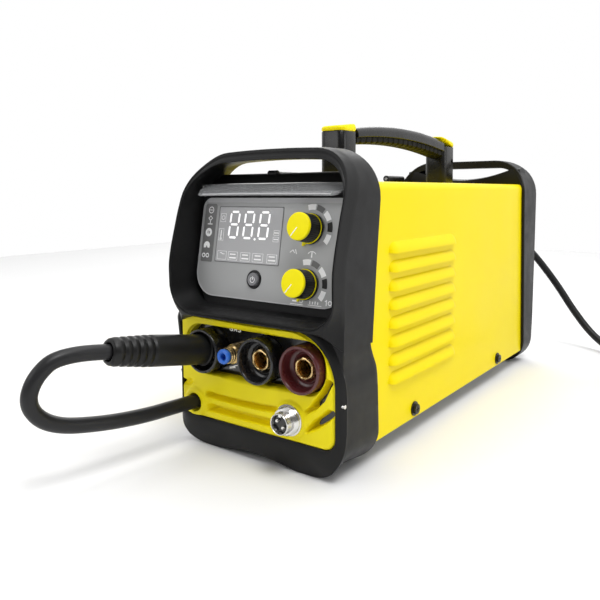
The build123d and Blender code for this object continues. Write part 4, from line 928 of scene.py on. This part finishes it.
def build_knob(place, v):
    """Fluted knob on a skirt: the barrel's radius is a circle with forty shallow ribs."""
    body, out = "knob_" + place + "_body", (0, -cos(TILT), sin(TILT))
    at = on_panel(KNOB_X, v, 0.0)
    barrel = [(0.01, -11.5), (2.95, -11.5), (2.95, 2.0), (11.1, 2.05), (11.5, 2.5), (11.5, 4.0), (11.2, 4.5),
              (10.6, 4.7), (10.6, 5.6), (10.55, 8.0), (10.5, 12.0), (10.45, 15.4), (10.2, 16.2), (9.8, 16.5),
              (0.01, 16.5)]

    def rib(row, a):
        """Radius factor: forty shallow flutes on the barrel's rows."""
        return 1 - 0.022 * (0.5 + 0.5 * np.cos(40 * a)) * ((row > 7) & (row < 12))

    tip = turn(np.array([(10.6, -1.5), (13.4, -0.7), (14.0, 0), (13.4, 0.7), (10.6, 1.5)]),
               -112) + (KNOB_X, v)
    pointer = skin([on_panel(*tip.T, w) for w in (2.2, 4.0)])
    piece("knob_barrel_" + place, [lathe(barrel, at, out, 240, ripple=rib)], "knob_black", body,
          ("knob_" + place,), sharp=45)
    ring = [(10.5, 4.62), (11.15, 4.62), (11.3, 4.85), (11.15, 5.1), (10.5, 5.1)]
    piece("knob_ring_" + place, [lathe(ring, at, out, 72, closed=True), pointer], "cap_yellow", body,
          sharp=50)
    disc = [(0.01, 16.5), (10.0, 16.5), (10.2, 16.7), (10.2, 18.0), (9.8, 18.45), (9.0, 18.55), (0.01, 18.5)]
    piece("knob_disc_" + place, [lathe(disc, at, out, 96)], "cap_yellow", body, ("knob_cap_" + place,),
          sharp=50)
    line = turn(np.array([(1.0, -0.32), (9.3, -0.32), (9.3, 0.32), (1.0, 0.32)]), -128) + (KNOB_X, v)
    piece("knob_line_" + place, [prism(line, 18.45, 18.72)], "print_white_painted_glow", body)


def turn(points, degrees):
    """Flat points turned about the origin."""
    a = radians(degrees)
    return points @ np.array([[cos(a), sin(a)], [-sin(a), cos(a)]])


def build_visor():
    """Clear strip over the panel: a rounded outline carried through its thickness, with a bow across
    its width, and a light grey bead along the front edge that paints the highlight on its clear edge."""
    loop = outline(-69.5, 69.5, -14.6, 0, 6.5, 0.6, 10, 30)
    slope = radians(32)

    def surface(shape, drop):
        """Strip coordinates as points: sloped, and bowed down by the square of x."""
        x, y = shape.T
        bow = -1.1 * (x / 70) ** 2
        return np.stack([x, -181.0 + y * cos(slope) + drop * sin(slope),
                         209.3 + y * sin(slope) + drop * cos(slope) + bow * 0.4], -1)

    pivots = [lathe([(0.01, -2.5), (1.2, -2.5), (1.4, -2.3), (1.4, 2.3), (1.2, 2.5), (0.01, 2.5)],
                    (x, -181.6, 207.6), (1, 0, 0), 24) for x in (-70.2, 70.2)]
    piece("visor_strip", [skin([surface(loop, d) for d in (0, -0.5, -1.6, -2.0)])] + pivots, "clear_plastic",
          stands_for=("glare_visor",), sharp=40)
    # painted highlight: a light grey bead stands for the highlight along the visor's clear front edge
    x = np.linspace(-62, 62, 40)
    edge = surface(np.stack([x, np.full(40, -14.3)], -1), -0.7)
    a = np.arange(10) * 2 * pi / 10
    ring = np.stack([0 * a, np.cos(a), np.sin(a)], -1) * 0.5
    piece("visor_highlight_bead", [skin(edge[:, None, :] + ring[None])], "panel_light", sharp=60)


# ------------------------------------------------------------------ handle
def build_handle():
    """Two posts with yellow caps, an arched grip and a ribbed strip under it."""
    screw_at = (HANDLE_HALF, 130.0, 236.0)
    for name, (front, rear, top) in POSTS.items():
        rows = []
        for s, z in ((1.6, 209.9), (0.5, 210.3), (0.0, 212.0), (0.0, 230), (0.0, top - 0.8),
                     (0.35, top - 0.25), (1.0, top)):
            loop = outline(-HANDLE_HALF + s, HANDLE_HALF - s, front + s, rear - s, 6.5, 6.5, 8)
            rows.append(np.stack([loop[:, 0], loop[:, 1], np.full(len(loop), z)], -1))
        post = piece("handle_post_" + name, [skin(rows)], "handle_black",
                     stands_for=("handle_" + name + "_post",), sharp=45)
        if name == "rear":
            recess = lathe([(0.01, -4), (2.9, -4), (2.9, 4), (0.01, 4)], screw_at, (1, 0, 0), 32)
            cut(post, [recess], "handle_black", 45)
            head = [(0.01, -3.9), (2.5, -3.9), (2.5, -2.6), (2.0, -2.2), (1.1, -2.2), (1.0, -3.2),
                    (0.01, -3.2)]
            piece("handle_screw", [lathe(head, screw_at, (1, 0, 0), 24)], "screw_black", sharp=40)
        cap_rows = []
        for s, k in ((0.5, 0.0), (0.0, 0.25), (0.0, 0.62), (0.5, 0.88), (1.3, 1.0), (3.0, 1.03)):
            loop = outline(-HANDLE_HALF + s, HANDLE_HALF - s, (front if name == "front" else front - 8) + s,
                           rear - s, 6.2, 6.2, 8)
            if name == "front":
                lift = 4.0 + 3.2 * (loop[:, 1] - front) / (rear - front)
            else:
                lift = 10.4 - 5.6 * (loop[:, 1] - front + 8) / (rear - front + 8)
            floor_z = np.full(len(loop), top + 0.05)
            if name == "rear":
                floor_z += 8.2 * ease(front + 1 - loop[:, 1], 0, 1.5)
            cap_rows.append(np.stack([loop[:, 0], loop[:, 1], floor_z * (1 - k) + (top + lift) * k], -1))
        piece("handle_cap_" + name + "_moulded", [skin(cap_rows)], "cap_yellow",
              stands_for=("handle_cap_" + name,), sharp=45)
    build_grip()


def arc_height(y, z0, z1, rise, y0=-74.5, y1=108.4):
    """Height of the grip's arched line at depth y: a straight line plus a parabola."""
    s = (y - y0) / (y1 - y0)
    return z0 + (z1 - z0) * s + rise * 4 * s * (1 - s)


def build_grip():
    """Grip: a section with rounded upper corners carried along the arch; the strip below it has ribs
    that lean, where its half width and its underside step in and out along the length."""
    t = np.linspace(0, pi / 2, 8)
    right = np.stack([HANDLE_HALF - 6 + 6 * np.sin(t), -6 + 6 * np.cos(t)], -1)
    upper = np.concatenate([right[::-1], right * (-1, 1)])
    rows = []
    for k in np.linspace(*GRIP_ENDS, 60):
        top, low = arc_height(k, 258.5, 258.6, 6.4), arc_height(k, 250.0, 246.5, 5.5)
        high = np.stack([upper[:, 0], np.full(len(upper), k), top + upper[:, 1]], -1)
        lower = np.array([(-HANDLE_HALF, k, low + 0.6), (-11.7, k, low), (11.7, k, low),
                          (HANDLE_HALF, k, low + 0.6)])
        rows.append(np.concatenate([high, lower]))
    piece("grip_shell", [skin(rows)], "handle_black", stands_for=("handle_grip",),
          sharp=45)
    y = np.linspace(*GRIP_ENDS, 300)
    wide = np.linspace(-1, 1, 15)
    lean = 7.0 * np.abs(wide)
    groove = 0.5 + 0.5 * np.cos(2 * pi * (y[:, None] + lean[None]) / 10.2)
    low = arc_height(y, 243.8, 240.0, 5.5)[:, None] + ease(groove, 0.8, 0.93) + 1.6 * np.abs(wide)[None] ** 4
    high = arc_height(y, 249.9, 246.4, 5.5)[:, None] + 0 * wide[None]
    x = (10.3 - 0.6 * ease(groove, 0.72, 0.9)) * wide[None]
    under = np.stack([x, np.repeat(y[:, None], 15, 1), low], -1)
    over = np.stack([x, np.repeat(y[:, None], 15, 1), high], -1)[:, ::-1]
    piece("grip_strip", [skin(np.concatenate([under, over], 1))], "grip_rubber",
          stands_for=("handle_underside",), sharp=50)


# ------------------------------------------------------------------ rear
def build_rear():
    """Rear moulding: rows from its front edge over the outside to the rear rim, and back through the
    recess; and a cross wall with the arch's slot above the roof."""
    front, back = softened(REAR_FRONT, 6.0), softened(REAR_BACK, 8.0)

    def loop(half, low_z, high_z, low, high):
        """Centred outline raised to the arc between the feet."""
        return arch(outline(-half, half, low_z, high_z, low, high, ARC, 30))

    outer = loop(80, 0, 238.5, 27, 40)
    soft = loop(79.2, 0.8, 237.7, 26.4, 39.4)
    rim = loop(77.0, 3.0, 230.0, 24, 34)
    deep = loop(76.8, 6.5, 229.6, 20, 34)
    near, far = at_height(front, outer[:, 1]), at_height(back, outer[:, 1])
    rows = [(deep, near + 2.0), (loop(77.0, 5.0, 229.8, 22, 34), near + 0.3), (soft, near + 0.1),
            (outer, near + 0.9)]
    rows += [(outer, near + (far - near) * s) for s in (0.2, 0.5, 0.8, 0.95)]
    rows += [(outer, far - 0.9), (soft, far - 0.1), (loop(78.0, 2.0, 231.0, 25, 35), far), (rim, far - 0.6)]
    rows += [(rim, far - 3.0), (deep, np.full(len(deep), 199.5)), (deep, np.full(len(deep), 196.0))]
    ring = skin([upright(s, y) for s, y in rows], run_closed=True)
    shapes = [ring, recess_wall()]
    piece("rear_moulding", shapes, "bumper_plastic", stands_for=("rear_bumper",),
          sharp=32)
    softened_copy("rear_panel", "rear_sheet", bevel=0.3)
    build_fan()
    softened_copy("switch_housing", "gloss_black", bevel=0.4)
    softened_copy("switch_rocker", "rocker_red", "rocker_body", 0.6)
    softened_copy("mains_gland", "fan_plastic", bevel=0.5)
    softened_copy("gas_inlet", "brass", bevel=0.2)
    at = (30.0, 226.0, 150.0)
    boot = [(4.7, -2.0), (6.3, -2.0)] + [(6.3 - 0.045 * k - (0.55 if k % 4 in (2, 3) else 0.0), -1.0 + k)
                                         for k in range(30)]
    boot += [(4.9, 29.5), (4.7, 29.0)]
    piece("mains_relief", [lathe(boot, at, (0, 1, 0.0), 40, closed=True)], "lead_rubber",
          sharp=45)


def recess_wall():
    """Wall of the recess from the roof's level upwards, as wide at each height as the arch there; its
    upper edge rises towards both sides as a parabola."""
    loop = np.array([(186.0, 209.0, 0), (187.5, 214.0, 1), (196, 215.4, 1), (205, 215.6, 1), (206, 213, 1),
                     (206, 206, 0), (198, 206, 0), (187, 206, 0)], float)
    y, z, share = loop.T
    u = np.linspace(-1, 1, 41)[:, None]
    half = 42 + np.sqrt(np.clip(34.5 ** 2 - np.clip(z - 197, 0, 34) ** 2, 0, None)) - 1.6 * share
    x = u * half
    rise = share * (1.4 + 3.3e-3 * np.minimum(np.abs(x), 60) ** 2)
    return skin(np.stack([x, np.broadcast_to(y, x.shape), z + rise], -1))


def build_fan():
    """Fan: housing, rotor with seven swept blades, and a wire guard of rings and spokes."""
    softened_copy("fan_frame", "fan_plastic", bevel=0.5)
    at = np.array(FAN)
    hub = [(1.6, -12.5), (17.0, -12.5), (17.0, 8.6), (16.2, 9.8), (14.5, 10.4), (0.01, 10.4), (0.01, 2.5),
           (1.6, 2.5)]
    shapes = [lathe(hub, at, (0, 1, 0), 64)]
    r = np.linspace(16.6, 41.5, 14)[:, None]
    s = np.linspace(-1, 1, 13)[None, :]
    for k in range(7):
        sweep = k * 2 * pi / 7 + 0.18 * (r - 16.6) / 25
        chord = 0.36 - 0.05 * (r - 16.6) / 25
        a = sweep + chord * s
        pitch = 8.6 * s - 1.2 * (s * s - 0.4)
        plane = np.stack([r * np.cos(a), -1.4 + pitch + 0 * r, r * np.sin(a)], -1)
        thick = np.array([0, 0.65, 0])
        ring = np.concatenate([plane + thick, (plane - thick)[:, ::-1]], 1) + at
        shapes.append(skin(ring))
    piece("fan_wheel", shapes, "fan_plastic", "fan_body", ("fan_rotor",), sharp=40)
    guard, middle = [], at * (1, 0, 1)
    a = np.arange(96) * 2 * pi / 96
    b = np.arange(10) * 2 * pi / 10
    for radius in (12, 20, 28, 36, 44):
        tube = radius + 0.8 * np.cos(b)[None, :]
        guard.append(skin(np.stack([FAN[0] + tube * np.cos(a)[:, None],
                                    198.6 + 0.8 * np.sin(b)[None] + 0 * a[:, None],
                                    FAN[2] + tube * np.sin(a)[:, None]], -1), run_closed=True))
    for k in range(4):
        ang = pi / 4 + k * pi / 2
        u, v, w = basis((cos(ang), 0, sin(ang)))
        length = np.array([11.5, 30, 47.5])
        centre = middle + (0, 197.9, 0) + length[:, None] * w
        guard.append(skin(centre[:, None] + 0.8 * (np.cos(b)[:, None] * u + np.sin(b)[:, None] * v)[None]))
        foot = middle + (49 * cos(ang), 197.0, 49 * sin(ang))
        guard.append(lathe([(0.01, 0), (3.6, 0), (3.6, 1.2), (3.0, 2.2), (0.01, 2.4)], foot, (0, 1, 0), 24))
    piece("fan_guard", guard, "nickel", stands_for=("fan_grille",), sharp=45)


# ------------------------------------------------------------------ inside and door
def build_inside():
    """Tray, wall, boards, wire drive and spool behind the door."""
    for node, colour, width in (("base_tray", "zinc_steel", 0.3), ("divider_wall", "zinc_steel", 0.3),
                                ("main_board", "board_green", 0.5), ("heatsink", "aluminium", 0.25),
                                ("spool_spindle", "spool_black", 0.6), ("feed_unit", "gloss_black", 1.0)):
        softened_copy(node, colour, bevel=width)
    softened_copy("pressure_arm", "spool_black", "pressure_arm_body", 1.0)
    x1 = -8.0 - SHEET - 8.0
    x0, at = x1 - 45.0, (0, 52.0, 118.0)
    flange = [(8.1, 0), (49.4, 0), (50.0, 0.6), (50.0, 1.9), (49.4, 2.5), (42, 2.5)]
    left = [(r, x0 + h) for r, h in flange]
    right = [(r, x1 - h) for r, h in reversed(flange)]
    piece("spool_body_moulded", [lathe(left + right, at, (1, 0, 0), 96, closed=True)], "spool_black",
          "spool_body", ("wire_spool",), sharp=45)
    turns = 30
    h = np.linspace(x0 + 2.6, x1 - 2.6, turns * 4 + 1)
    wound = [(41.9, h[0])] + [(44.2 + 0.45 * abs(sin(pi * k / 4)), v) for k,
                              v in enumerate(h)] + [(41.9, h[-1])]
    piece("spool_winding", [lathe(wound, at, (1, 0, 0), 96, closed=True)], "welding_wire", "spool_body",
          sharp=60)
    softened_copy("casing_screws", "screw_black", bevel=0.3)
    softened_copy("door_hinges", "screw_black", bevel=0.4)
    door = softened_copy("side_door", "casing_paint", "door_body", 0.5)
    door.data.materials.append(FINISHES["screw_black"])
    for face in door.data.polygons:
        face.material_index = int((door.matrix_world @ face.center).z > 213 * MM)
    softened_copy("door_latch", "screw_black", "latch_body", 0.4)
    pins = [lathe([(0.01, -0.6), (1.7, -0.6), (1.9, -0.2), (1.9, 42.2), (1.7, 42.6), (0.01, 42.6)],
                  (-75, y, 218), (0, 1, 0), 20) for y in (-90.0, 134.0)]
    piece("hinge_pins", pins, "nickel", sharp=40)


# ------------------------------------------------------------------ leads
def cable(name, route, radius, body="machine"):
    """Round lead on one smooth curve through the influence of its given points, in millimetres."""
    data = bpy.data.curves.new(name, "CURVE")
    data.dimensions = "3D"
    spline = data.splines.new("NURBS")
    spline.points.add(len(route) - 1)
    for point, place in zip(spline.points, route):
        point.co = (*(Vector(place) * MM), 1.0)
    spline.order_u, spline.use_endpoint_u = 3, True
    data.resolution_u, data.bevel_depth, data.bevel_resolution, data.use_fill_caps = 16, radius * MM, 6, True
    data.materials.append(FINISHES["lead_rubber"])
    obj = bpy.data.objects.new(name, data)
    bpy.context.scene.collection.objects.link(obj)
    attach(obj, body)
    return obj


PLUG_ROOT, PLUG_END = np.array([-47.0, -204.0, 78.3]), np.array([-58.0, -290.7, 92.3])
LEAD_ROUTE = [(-58.0, -201.0, 35.0), (-59.5, -228.0, 36.2), (-63.0, -256.0, 36.0), (-67.5, -292.0, 39.4),
              (-71.2, -328.5, 47.6), (-72.0, -345.0, 65.0), (-69.5, -340.6, 84.0), (-65.0, -323.0, 97.2),
              tuple(PLUG_END)]
MAINS_ROUTE = [(30.0, 224.0, 150.0), (30.0, 262.0, 150.0), (39.9, 290.0, 138.0), (57.0, 305.0, 115.5),
               (84.0, 308.0, 80.0), (108.0, 305.5, 44.5), (134.0, 300.0, 16.0), (164.0, 281.0, 4.6),
               (178.0, 246.0, 4.8), (178.0, 212.0, 4.6)]


def coil_points(turns, per_turn=16):
    """Points of the stored turns: the angle grows evenly, the distance from the coil's middle goes in
    and out again through three rings, and the height rises from the lower layer to the upper."""
    k = np.arange(1, int(turns * per_turn) + 1)
    s = k / per_turn
    radius = np.interp(s, [0, 0.5, 1.0, 1.5, 2.0, 2.8, 3.0, 3.8, 4.3, 4.9, 5.4],
                       [59, 58.8, 51, 50.4, 42, 41.6, 43.4, 50.6, 53, 58.4, 58.4])
    height = np.interp(s, [0, 2.2, 2.9, 4.6, 5.0, 5.4], [4.7, 4.7, 13.6, 13.8, 14.4, 20.0])
    a = pi + s * 2 * pi
    swell = 1 / cos(pi / per_turn)
    wave = -0.35 + 0.3 * np.sin(s * 5.1)
    return [tuple(p) for p in np.stack([COIL[0] + (radius + wave) * swell * np.cos(a),
                                        COIL[1] + (radius + wave) * swell * np.sin(a), height], -1)]


def build_leads(look):
    """Polarity lead with its ribbed plug, and the mains lead with its stored turns and plug."""
    lead = cable("polarity_cable", LEAD_ROUTE, 5.5)
    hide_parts("polarity_lead")
    axis = PLUG_END - PLUG_ROOT
    reach = float(np.linalg.norm(axis))
    axis = axis / reach
    shape = [(4.1, 3.9), (12.0, 3.9), (12.7, 4.4), (12.9, 5.2), (12.7, 6.6), (12.1, 7.0), (11.7, 7.4),
             (11.75, 13.5), (11.8, 34), (11.8, 50), (11.75, 54.5)]
    for k in range(5):
        s = 56.0 + 5.9 * k
        r = 11.75 - 0.33 * k
        shape += [(r - 0.05, s), (r - 0.95, s + 0.9), (r - 0.95, s + 1.7), (r - 0.12, s + 2.6),
                  (r - 0.1, s + 5.2)]
    shape += [(9.9, 86.0), (9.6, 88.0), (8.6, 89.3), (7.2, 89.5), (6.3, 88.6), (5.9, 84.0), (5.7, 76.0),
              (3.9, 75.0), (3.9, 20)]
    plug = piece("polarity_plug", [lathe(shape, PLUG_ROOT, axis, 72, closed=True)], "plug_rubber",
                 stands_for=("polarity_plug_body",), sharp=45)
    pin = [(0.01, -7.8), (3.2, -7.8), (3.9, -7.0), (3.9, 6.2), (3.5, 8.0), (0.01, 8.2)]
    contact = piece("polarity_pin", [lathe(pin, PLUG_ROOT, axis, 36)], "brass",
                    stands_for=("polarity_plug_pin",), sharp=45)

    climb = [(193.0, 172.5, 24.5), (204.0, 166.0, 31.5), (217.0, 164.0, 36.0), (232.0, 164.0, 36.6),
             (244.0, 164.0, 36.6)]
    route = MAINS_ROUTE + coil_points(look.coil_turns) + climb
    mains = cable("mains_cable", route, 4.5)
    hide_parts("mains_cord", "mains_coil")
    at, out = PLUG, (1, 0, 0)
    body = [(4.6, -33), (6.0, -33), (6.6, -31), (6.3, -30), (7.4, -27.5), (7.0, -26.6), (8.3, -24),
            (8.0, -23), (9.6, -20), (9.3, -19), (11.5, -14.5), (14.5, -13), (17.2, -10.5), (18, -8), (18, 7),
            (17.6, 11), (16.6, 12.8), (15.8, 13), (4.0, 13), (4.0, -6)]

    def grips(row, a):
        """Radius factor: a flat on both sides of the widest rows."""
        return 1 - 0.05 * (np.cos(2 * a) > 0.55) * ((row > 12) & (row < 15))

    mains_plug = piece("mains_plug_moulded", [lathe(body, at, out, 96, closed=True, ripple=grips)],
                       "lead_rubber", stands_for=("mains_plug",), sharp=45)
    prongs = [lathe([(0.01, 12), (2.4, 12), (2.4, 30.5), (1.8, 31.9), (0.01, 32)],
                    (PLUG[0], PLUG[1] + d, PLUG[2]), out, 28) for d in (-9.5, 9.5)]
    prong = piece("mains_plug_pins", prongs, "nickel", sharp=45)
    tie = lead_tie()


def lead_tie():
    """Tie round the coil's band: a flat rounded ring about the turns, closed on itself."""
    a = np.arange(48) * 2 * pi / 48
    across = 14.2 * np.sign(np.cos(a)) * np.abs(np.cos(a)) ** 0.55
    high = 9.8 * np.sign(np.sin(a)) * np.abs(np.sin(a)) ** 0.55
    rows = []
    for x, grow in ((232.4, 0.0), (232.0, 0.5), (232.4, 1.0), (241.6, 1.0), (242.0, 0.5), (241.6, 0.0)):
        k = 1 + grow / 14
        rows.append(np.stack([np.full(48, x), 262.2 + across * k, np.maximum(9.6 + high * k, 0.05)], -1))
    return piece("lead_tie", [skin(rows, run_closed=True)], "grip_rubber", sharp=50)


# ------------------------------------------------------------------ stage and camera
LIGHTS = (("key", (0.95, -0.55, 2.1), (0, 0, 0.12), (0.9, 0.9), 40.0),
          ("fill", (-0.9, -1.9, 1.2), (0, -0.1, 0.12), (1.4, 1.0), 14.0),
          ("side", (2.1, 0.7, 0.9), (0, 0, 0.12), (0.7, 1.4), 13.0),
          ("top", (0, 0.4, 2.4), (0, 0, 0.1), (1.6, 1.6), 22.0),
          ("back", (-1.3, 1.9, 1.2), (0, 0, 0.12), (1.4, 1.2), 12.0))


def build_stage(look):
    """Pale floor, soft area lights and the camera."""
    mesh = bpy.data.meshes.new("floor")
    side = 1.7
    mesh.from_pydata([(-side, -side, 0), (side, -side, 0), (side, side, 0), (-side, side, 0)], [],
                     [(0, 1, 2, 3)])
    floor = bpy.data.objects.new("floor", mesh)
    bpy.context.scene.collection.objects.link(floor)
    mesh.materials.append(FINISHES["floor_pale"])
    world = bpy.data.worlds.new("studio")
    bpy.context.scene.world = world
    world.use_nodes = True
    tree = world.node_tree
    place, dot, ramp = (tree.nodes.new("ShaderNode" + kind)
                        for kind in ("TexCoord", "VectorMath", "MapRange"))
    dot.operation = "DOT_PRODUCT"
    dot.inputs[1].default_value = (-0.58, 0.78, 0.22)
    ramp.interpolation_type = "SMOOTHSTEP"
    for key, value in (("From Min", -0.35), ("From Max", 0.62), ("To Min", 0.14), ("To Max", 1.0)):
        ramp.inputs[key].default_value = value
    tree.links.new(place.outputs["Generated"], dot.inputs[0])
    tree.links.new(dot.outputs["Value"], ramp.inputs["Value"])
    tree.links.new(ramp.outputs["Result"], tree.nodes["Background"].inputs["Strength"])
    tree.nodes["Background"].inputs["Color"].default_value = (look.room_light,) * 3 + (1,)
    for name, place, aim, size, power in LIGHTS:
        lamp = bpy.data.lights.new(name, "AREA")
        lamp.shape, lamp.size, lamp.size_y, lamp.energy = "RECTANGLE", size[0], size[1], power * look.lamp_light
        obj = bpy.data.objects.new(name, lamp)
        obj.location = place
        obj.rotation_euler = (Vector(aim) - Vector(place)).to_track_quat("-Z", "Y").to_euler()
        bpy.context.scene.collection.objects.link(obj)
    yaw, pitch, roll = (radians(k) for k in (36.476, 4.336, -0.328))
    ahead = Vector((-sin(yaw) * cos(pitch), cos(yaw) * cos(pitch), -sin(pitch)))
    right = Vector((cos(yaw), sin(yaw), 0))
    up = right.cross(ahead)
    across = right * cos(roll) + up * sin(roll)
    upward = up * cos(roll) - right * sin(roll)
    data = bpy.data.cameras.new("camera")
    data.lens, data.sensor_width, data.shift_y = 38.40, 36.0, -0.098
    camera = bpy.data.objects.new("camera", data)
    pose = Matrix((across, upward, -ahead)).transposed().to_4x4()
    pose.translation = Vector((308.6, -563.0, 201.7)) * MM
    camera.matrix_world = pose
    bpy.context.scene.collection.objects.link(camera)
    bpy.context.scene.camera = camera


# ------------------------------------------------------------------ settings, operators and panel
class WelderLook(bpy.types.PropertyGroup):
    """Sizes and colours of the welder that a user would change."""

    casing_colour: bpy.props.FloatVectorProperty(name="Casing", description="Colour of the painted casing",
                                                 subtype="COLOR", size=3, min=0, max=1,
                                                 default=(0.93, 0.745, 0.0))
    insert_colour: bpy.props.FloatVectorProperty(name="Insert", description="Colour of the connector insert",
                                                 subtype="COLOR", size=3, min=0, max=1,
                                                 default=(0.93, 0.79, 0.003))
    bumper_colour: bpy.props.FloatVectorProperty(name="Bumpers", description="Colour of both moulded bumpers",
                                                 subtype="COLOR", size=3, min=0, max=1,
                                                 default=(0.007, 0.007, 0.0073))
    floor_colour: bpy.props.FloatVectorProperty(name="Floor", description="Colour of the floor",
                                                subtype="COLOR", size=3, min=0, max=1,
                                                default=(0.86, 0.86, 0.86))
    room_light: bpy.props.FloatProperty(name="Room light", description="Strength of the even light all round",
                                        default=1.0, min=0)
    lamp_light: bpy.props.FloatProperty(name="Lamps", description="Multiplies the power of every lamp",
                                        default=0.74, min=0)
    lead_length: bpy.props.FloatProperty(name="Polarity lead",
                                         description="Length of the lead outside the machine", default=0.224,
                                         min=0.1, unit="LENGTH")
    mains_length: bpy.props.FloatProperty(name="Mains lead",
                                          description="Length of the mains lead outside the gland",
                                          default=2.0, min=0.5, unit="LENGTH")
    coil_turns: bpy.props.FloatProperty(name="Stored turns",
                                        description="Turns of the mains lead in its coil", default=5.09,
                                        min=1, max=5.4)


class WELDER_OT_finishes(bpy.types.Operator):
    """Make every finish"""

    bl_idname, bl_label = "welder.finishes", "Finishes"

    def execute(self, context):
        """Work out the node materials."""
        make_finishes(context.scene.welder_look)
        return {"FINISHED"}


class WELDER_OT_stage(bpy.types.Operator):
    """Set up the floor, the lights and the camera"""

    bl_idname, bl_label = "welder.stage", "Stage"

    def execute(self, context):
        """Use the floor colour and both light strengths."""
        build_stage(context.scene.welder_look)
        return {"FINISHED"}


class WELDER_OT_leads(bpy.types.Operator):
    """Lay the polarity lead and the mains lead with their plugs"""

    bl_idname, bl_label = "welder.leads", "Leads"

    def execute(self, context):
        """Use the turns of the coil."""
        build_leads(context.scene.welder_look)
        return {"FINISHED"}


class WELDER_OT_casing(bpy.types.Operator):
    """Bend the casing and press its louvres"""

    bl_idname, bl_label = "welder.casing", "Casing"

    def execute(self, context):
        """Shell, slots and louvres."""
        build_casing()
        return {"FINISHED"}


class WELDER_OT_front(bpy.types.Operator):
    """Mould the front hood, frame and bulkhead"""

    bl_idname, bl_label = "welder.front", "Front moulding"

    def execute(self, context):
        """Everything round the opening."""
        build_front()
        return {"FINISHED"}


class WELDER_OT_insert(bpy.types.Operator):
    """Mould the connector insert and its plate"""

    bl_idname, bl_label = "welder.insert", "Connector insert"

    def execute(self, context):
        """The plates behind the connectors."""
        build_insert()
        return {"FINISHED"}


class WELDER_OT_sockets(bpy.types.Operator):
    """Turn the power sockets, the gas outlet and the trigger socket"""

    bl_idname, bl_label = "welder.sockets", "Sockets"

    def execute(self, context):
        """Each connector about its own axis."""
        build_sockets()
        return {"FINISHED"}


class WELDER_OT_panel(bpy.types.Operator):
    """Make the control panel with its display, knobs and visor"""

    bl_idname, bl_label = "welder.panel", "Control panel"

    def execute(self, context):
        """All that lies on the tilted panel."""
        build_panel()
        return {"FINISHED"}


class WELDER_OT_handle(bpy.types.Operator):
    """Mould the handle's posts, caps and grip"""

    bl_idname, bl_label = "welder.handle", "Handle"

    def execute(self, context):
        """Both posts, then the grip."""
        build_handle()
        return {"FINISHED"}


class WELDER_OT_rear(bpy.types.Operator):
    """Mould the rear bumper and fit the rear panel, fan, switch and gland"""

    bl_idname, bl_label = "welder.rear", "Rear"

    def execute(self, context):
        """The whole back."""
        build_rear()
        return {"FINISHED"}


class WELDER_OT_inside(bpy.types.Operator):
    """Fit the inside, the wire spool and the side door"""

    bl_idname, bl_label = "welder.inside", "Inside and door"

    def execute(self, context):
        """What the door shows."""
        build_inside()
        return {"FINISHED"}


STEPS = (WELDER_OT_finishes, WELDER_OT_stage, WELDER_OT_leads, WELDER_OT_casing, WELDER_OT_front,
         WELDER_OT_insert, WELDER_OT_sockets, WELDER_OT_panel, WELDER_OT_handle, WELDER_OT_rear,
         WELDER_OT_inside)


class WELDER_PT_sidebar(bpy.types.Panel):
    """Lists the welder's settings and building steps"""

    bl_idname, bl_label = "WELDER_PT_sidebar", "Welder"
    bl_space_type, bl_region_type, bl_category = "VIEW_3D", "UI", "Welder"

    def draw(self, context):
        """Settings first, then one button for each step."""
        for prop in WelderLook.__annotations__:
            self.layout.prop(context.scene.welder_look, prop)
        for step in STEPS:
            self.layout.operator(step.bl_idname)


def register():
    """Register the settings, the steps and the sidebar."""
    for cls in (WelderLook, *STEPS, WELDER_PT_sidebar):
        bpy.utils.register_class(cls)
    bpy.types.Scene.welder_look = bpy.props.PointerProperty(type=WelderLook)


def unregister():
    """Undo register."""
    del bpy.types.Scene.welder_look
    for cls in reversed((WelderLook, *STEPS, WELDER_PT_sidebar)):
        bpy.utils.unregister_class(cls)


def main():
    """Run every step in order."""
    register()
    bpy.context.scene.view_settings.view_transform = "Standard"
    for step in STEPS:
        group, name = step.bl_idname.split(".")
        getattr(getattr(bpy.ops, group), name)()
    bpy.context.view_layer.update()


if __name__ == "__main__":
    main()
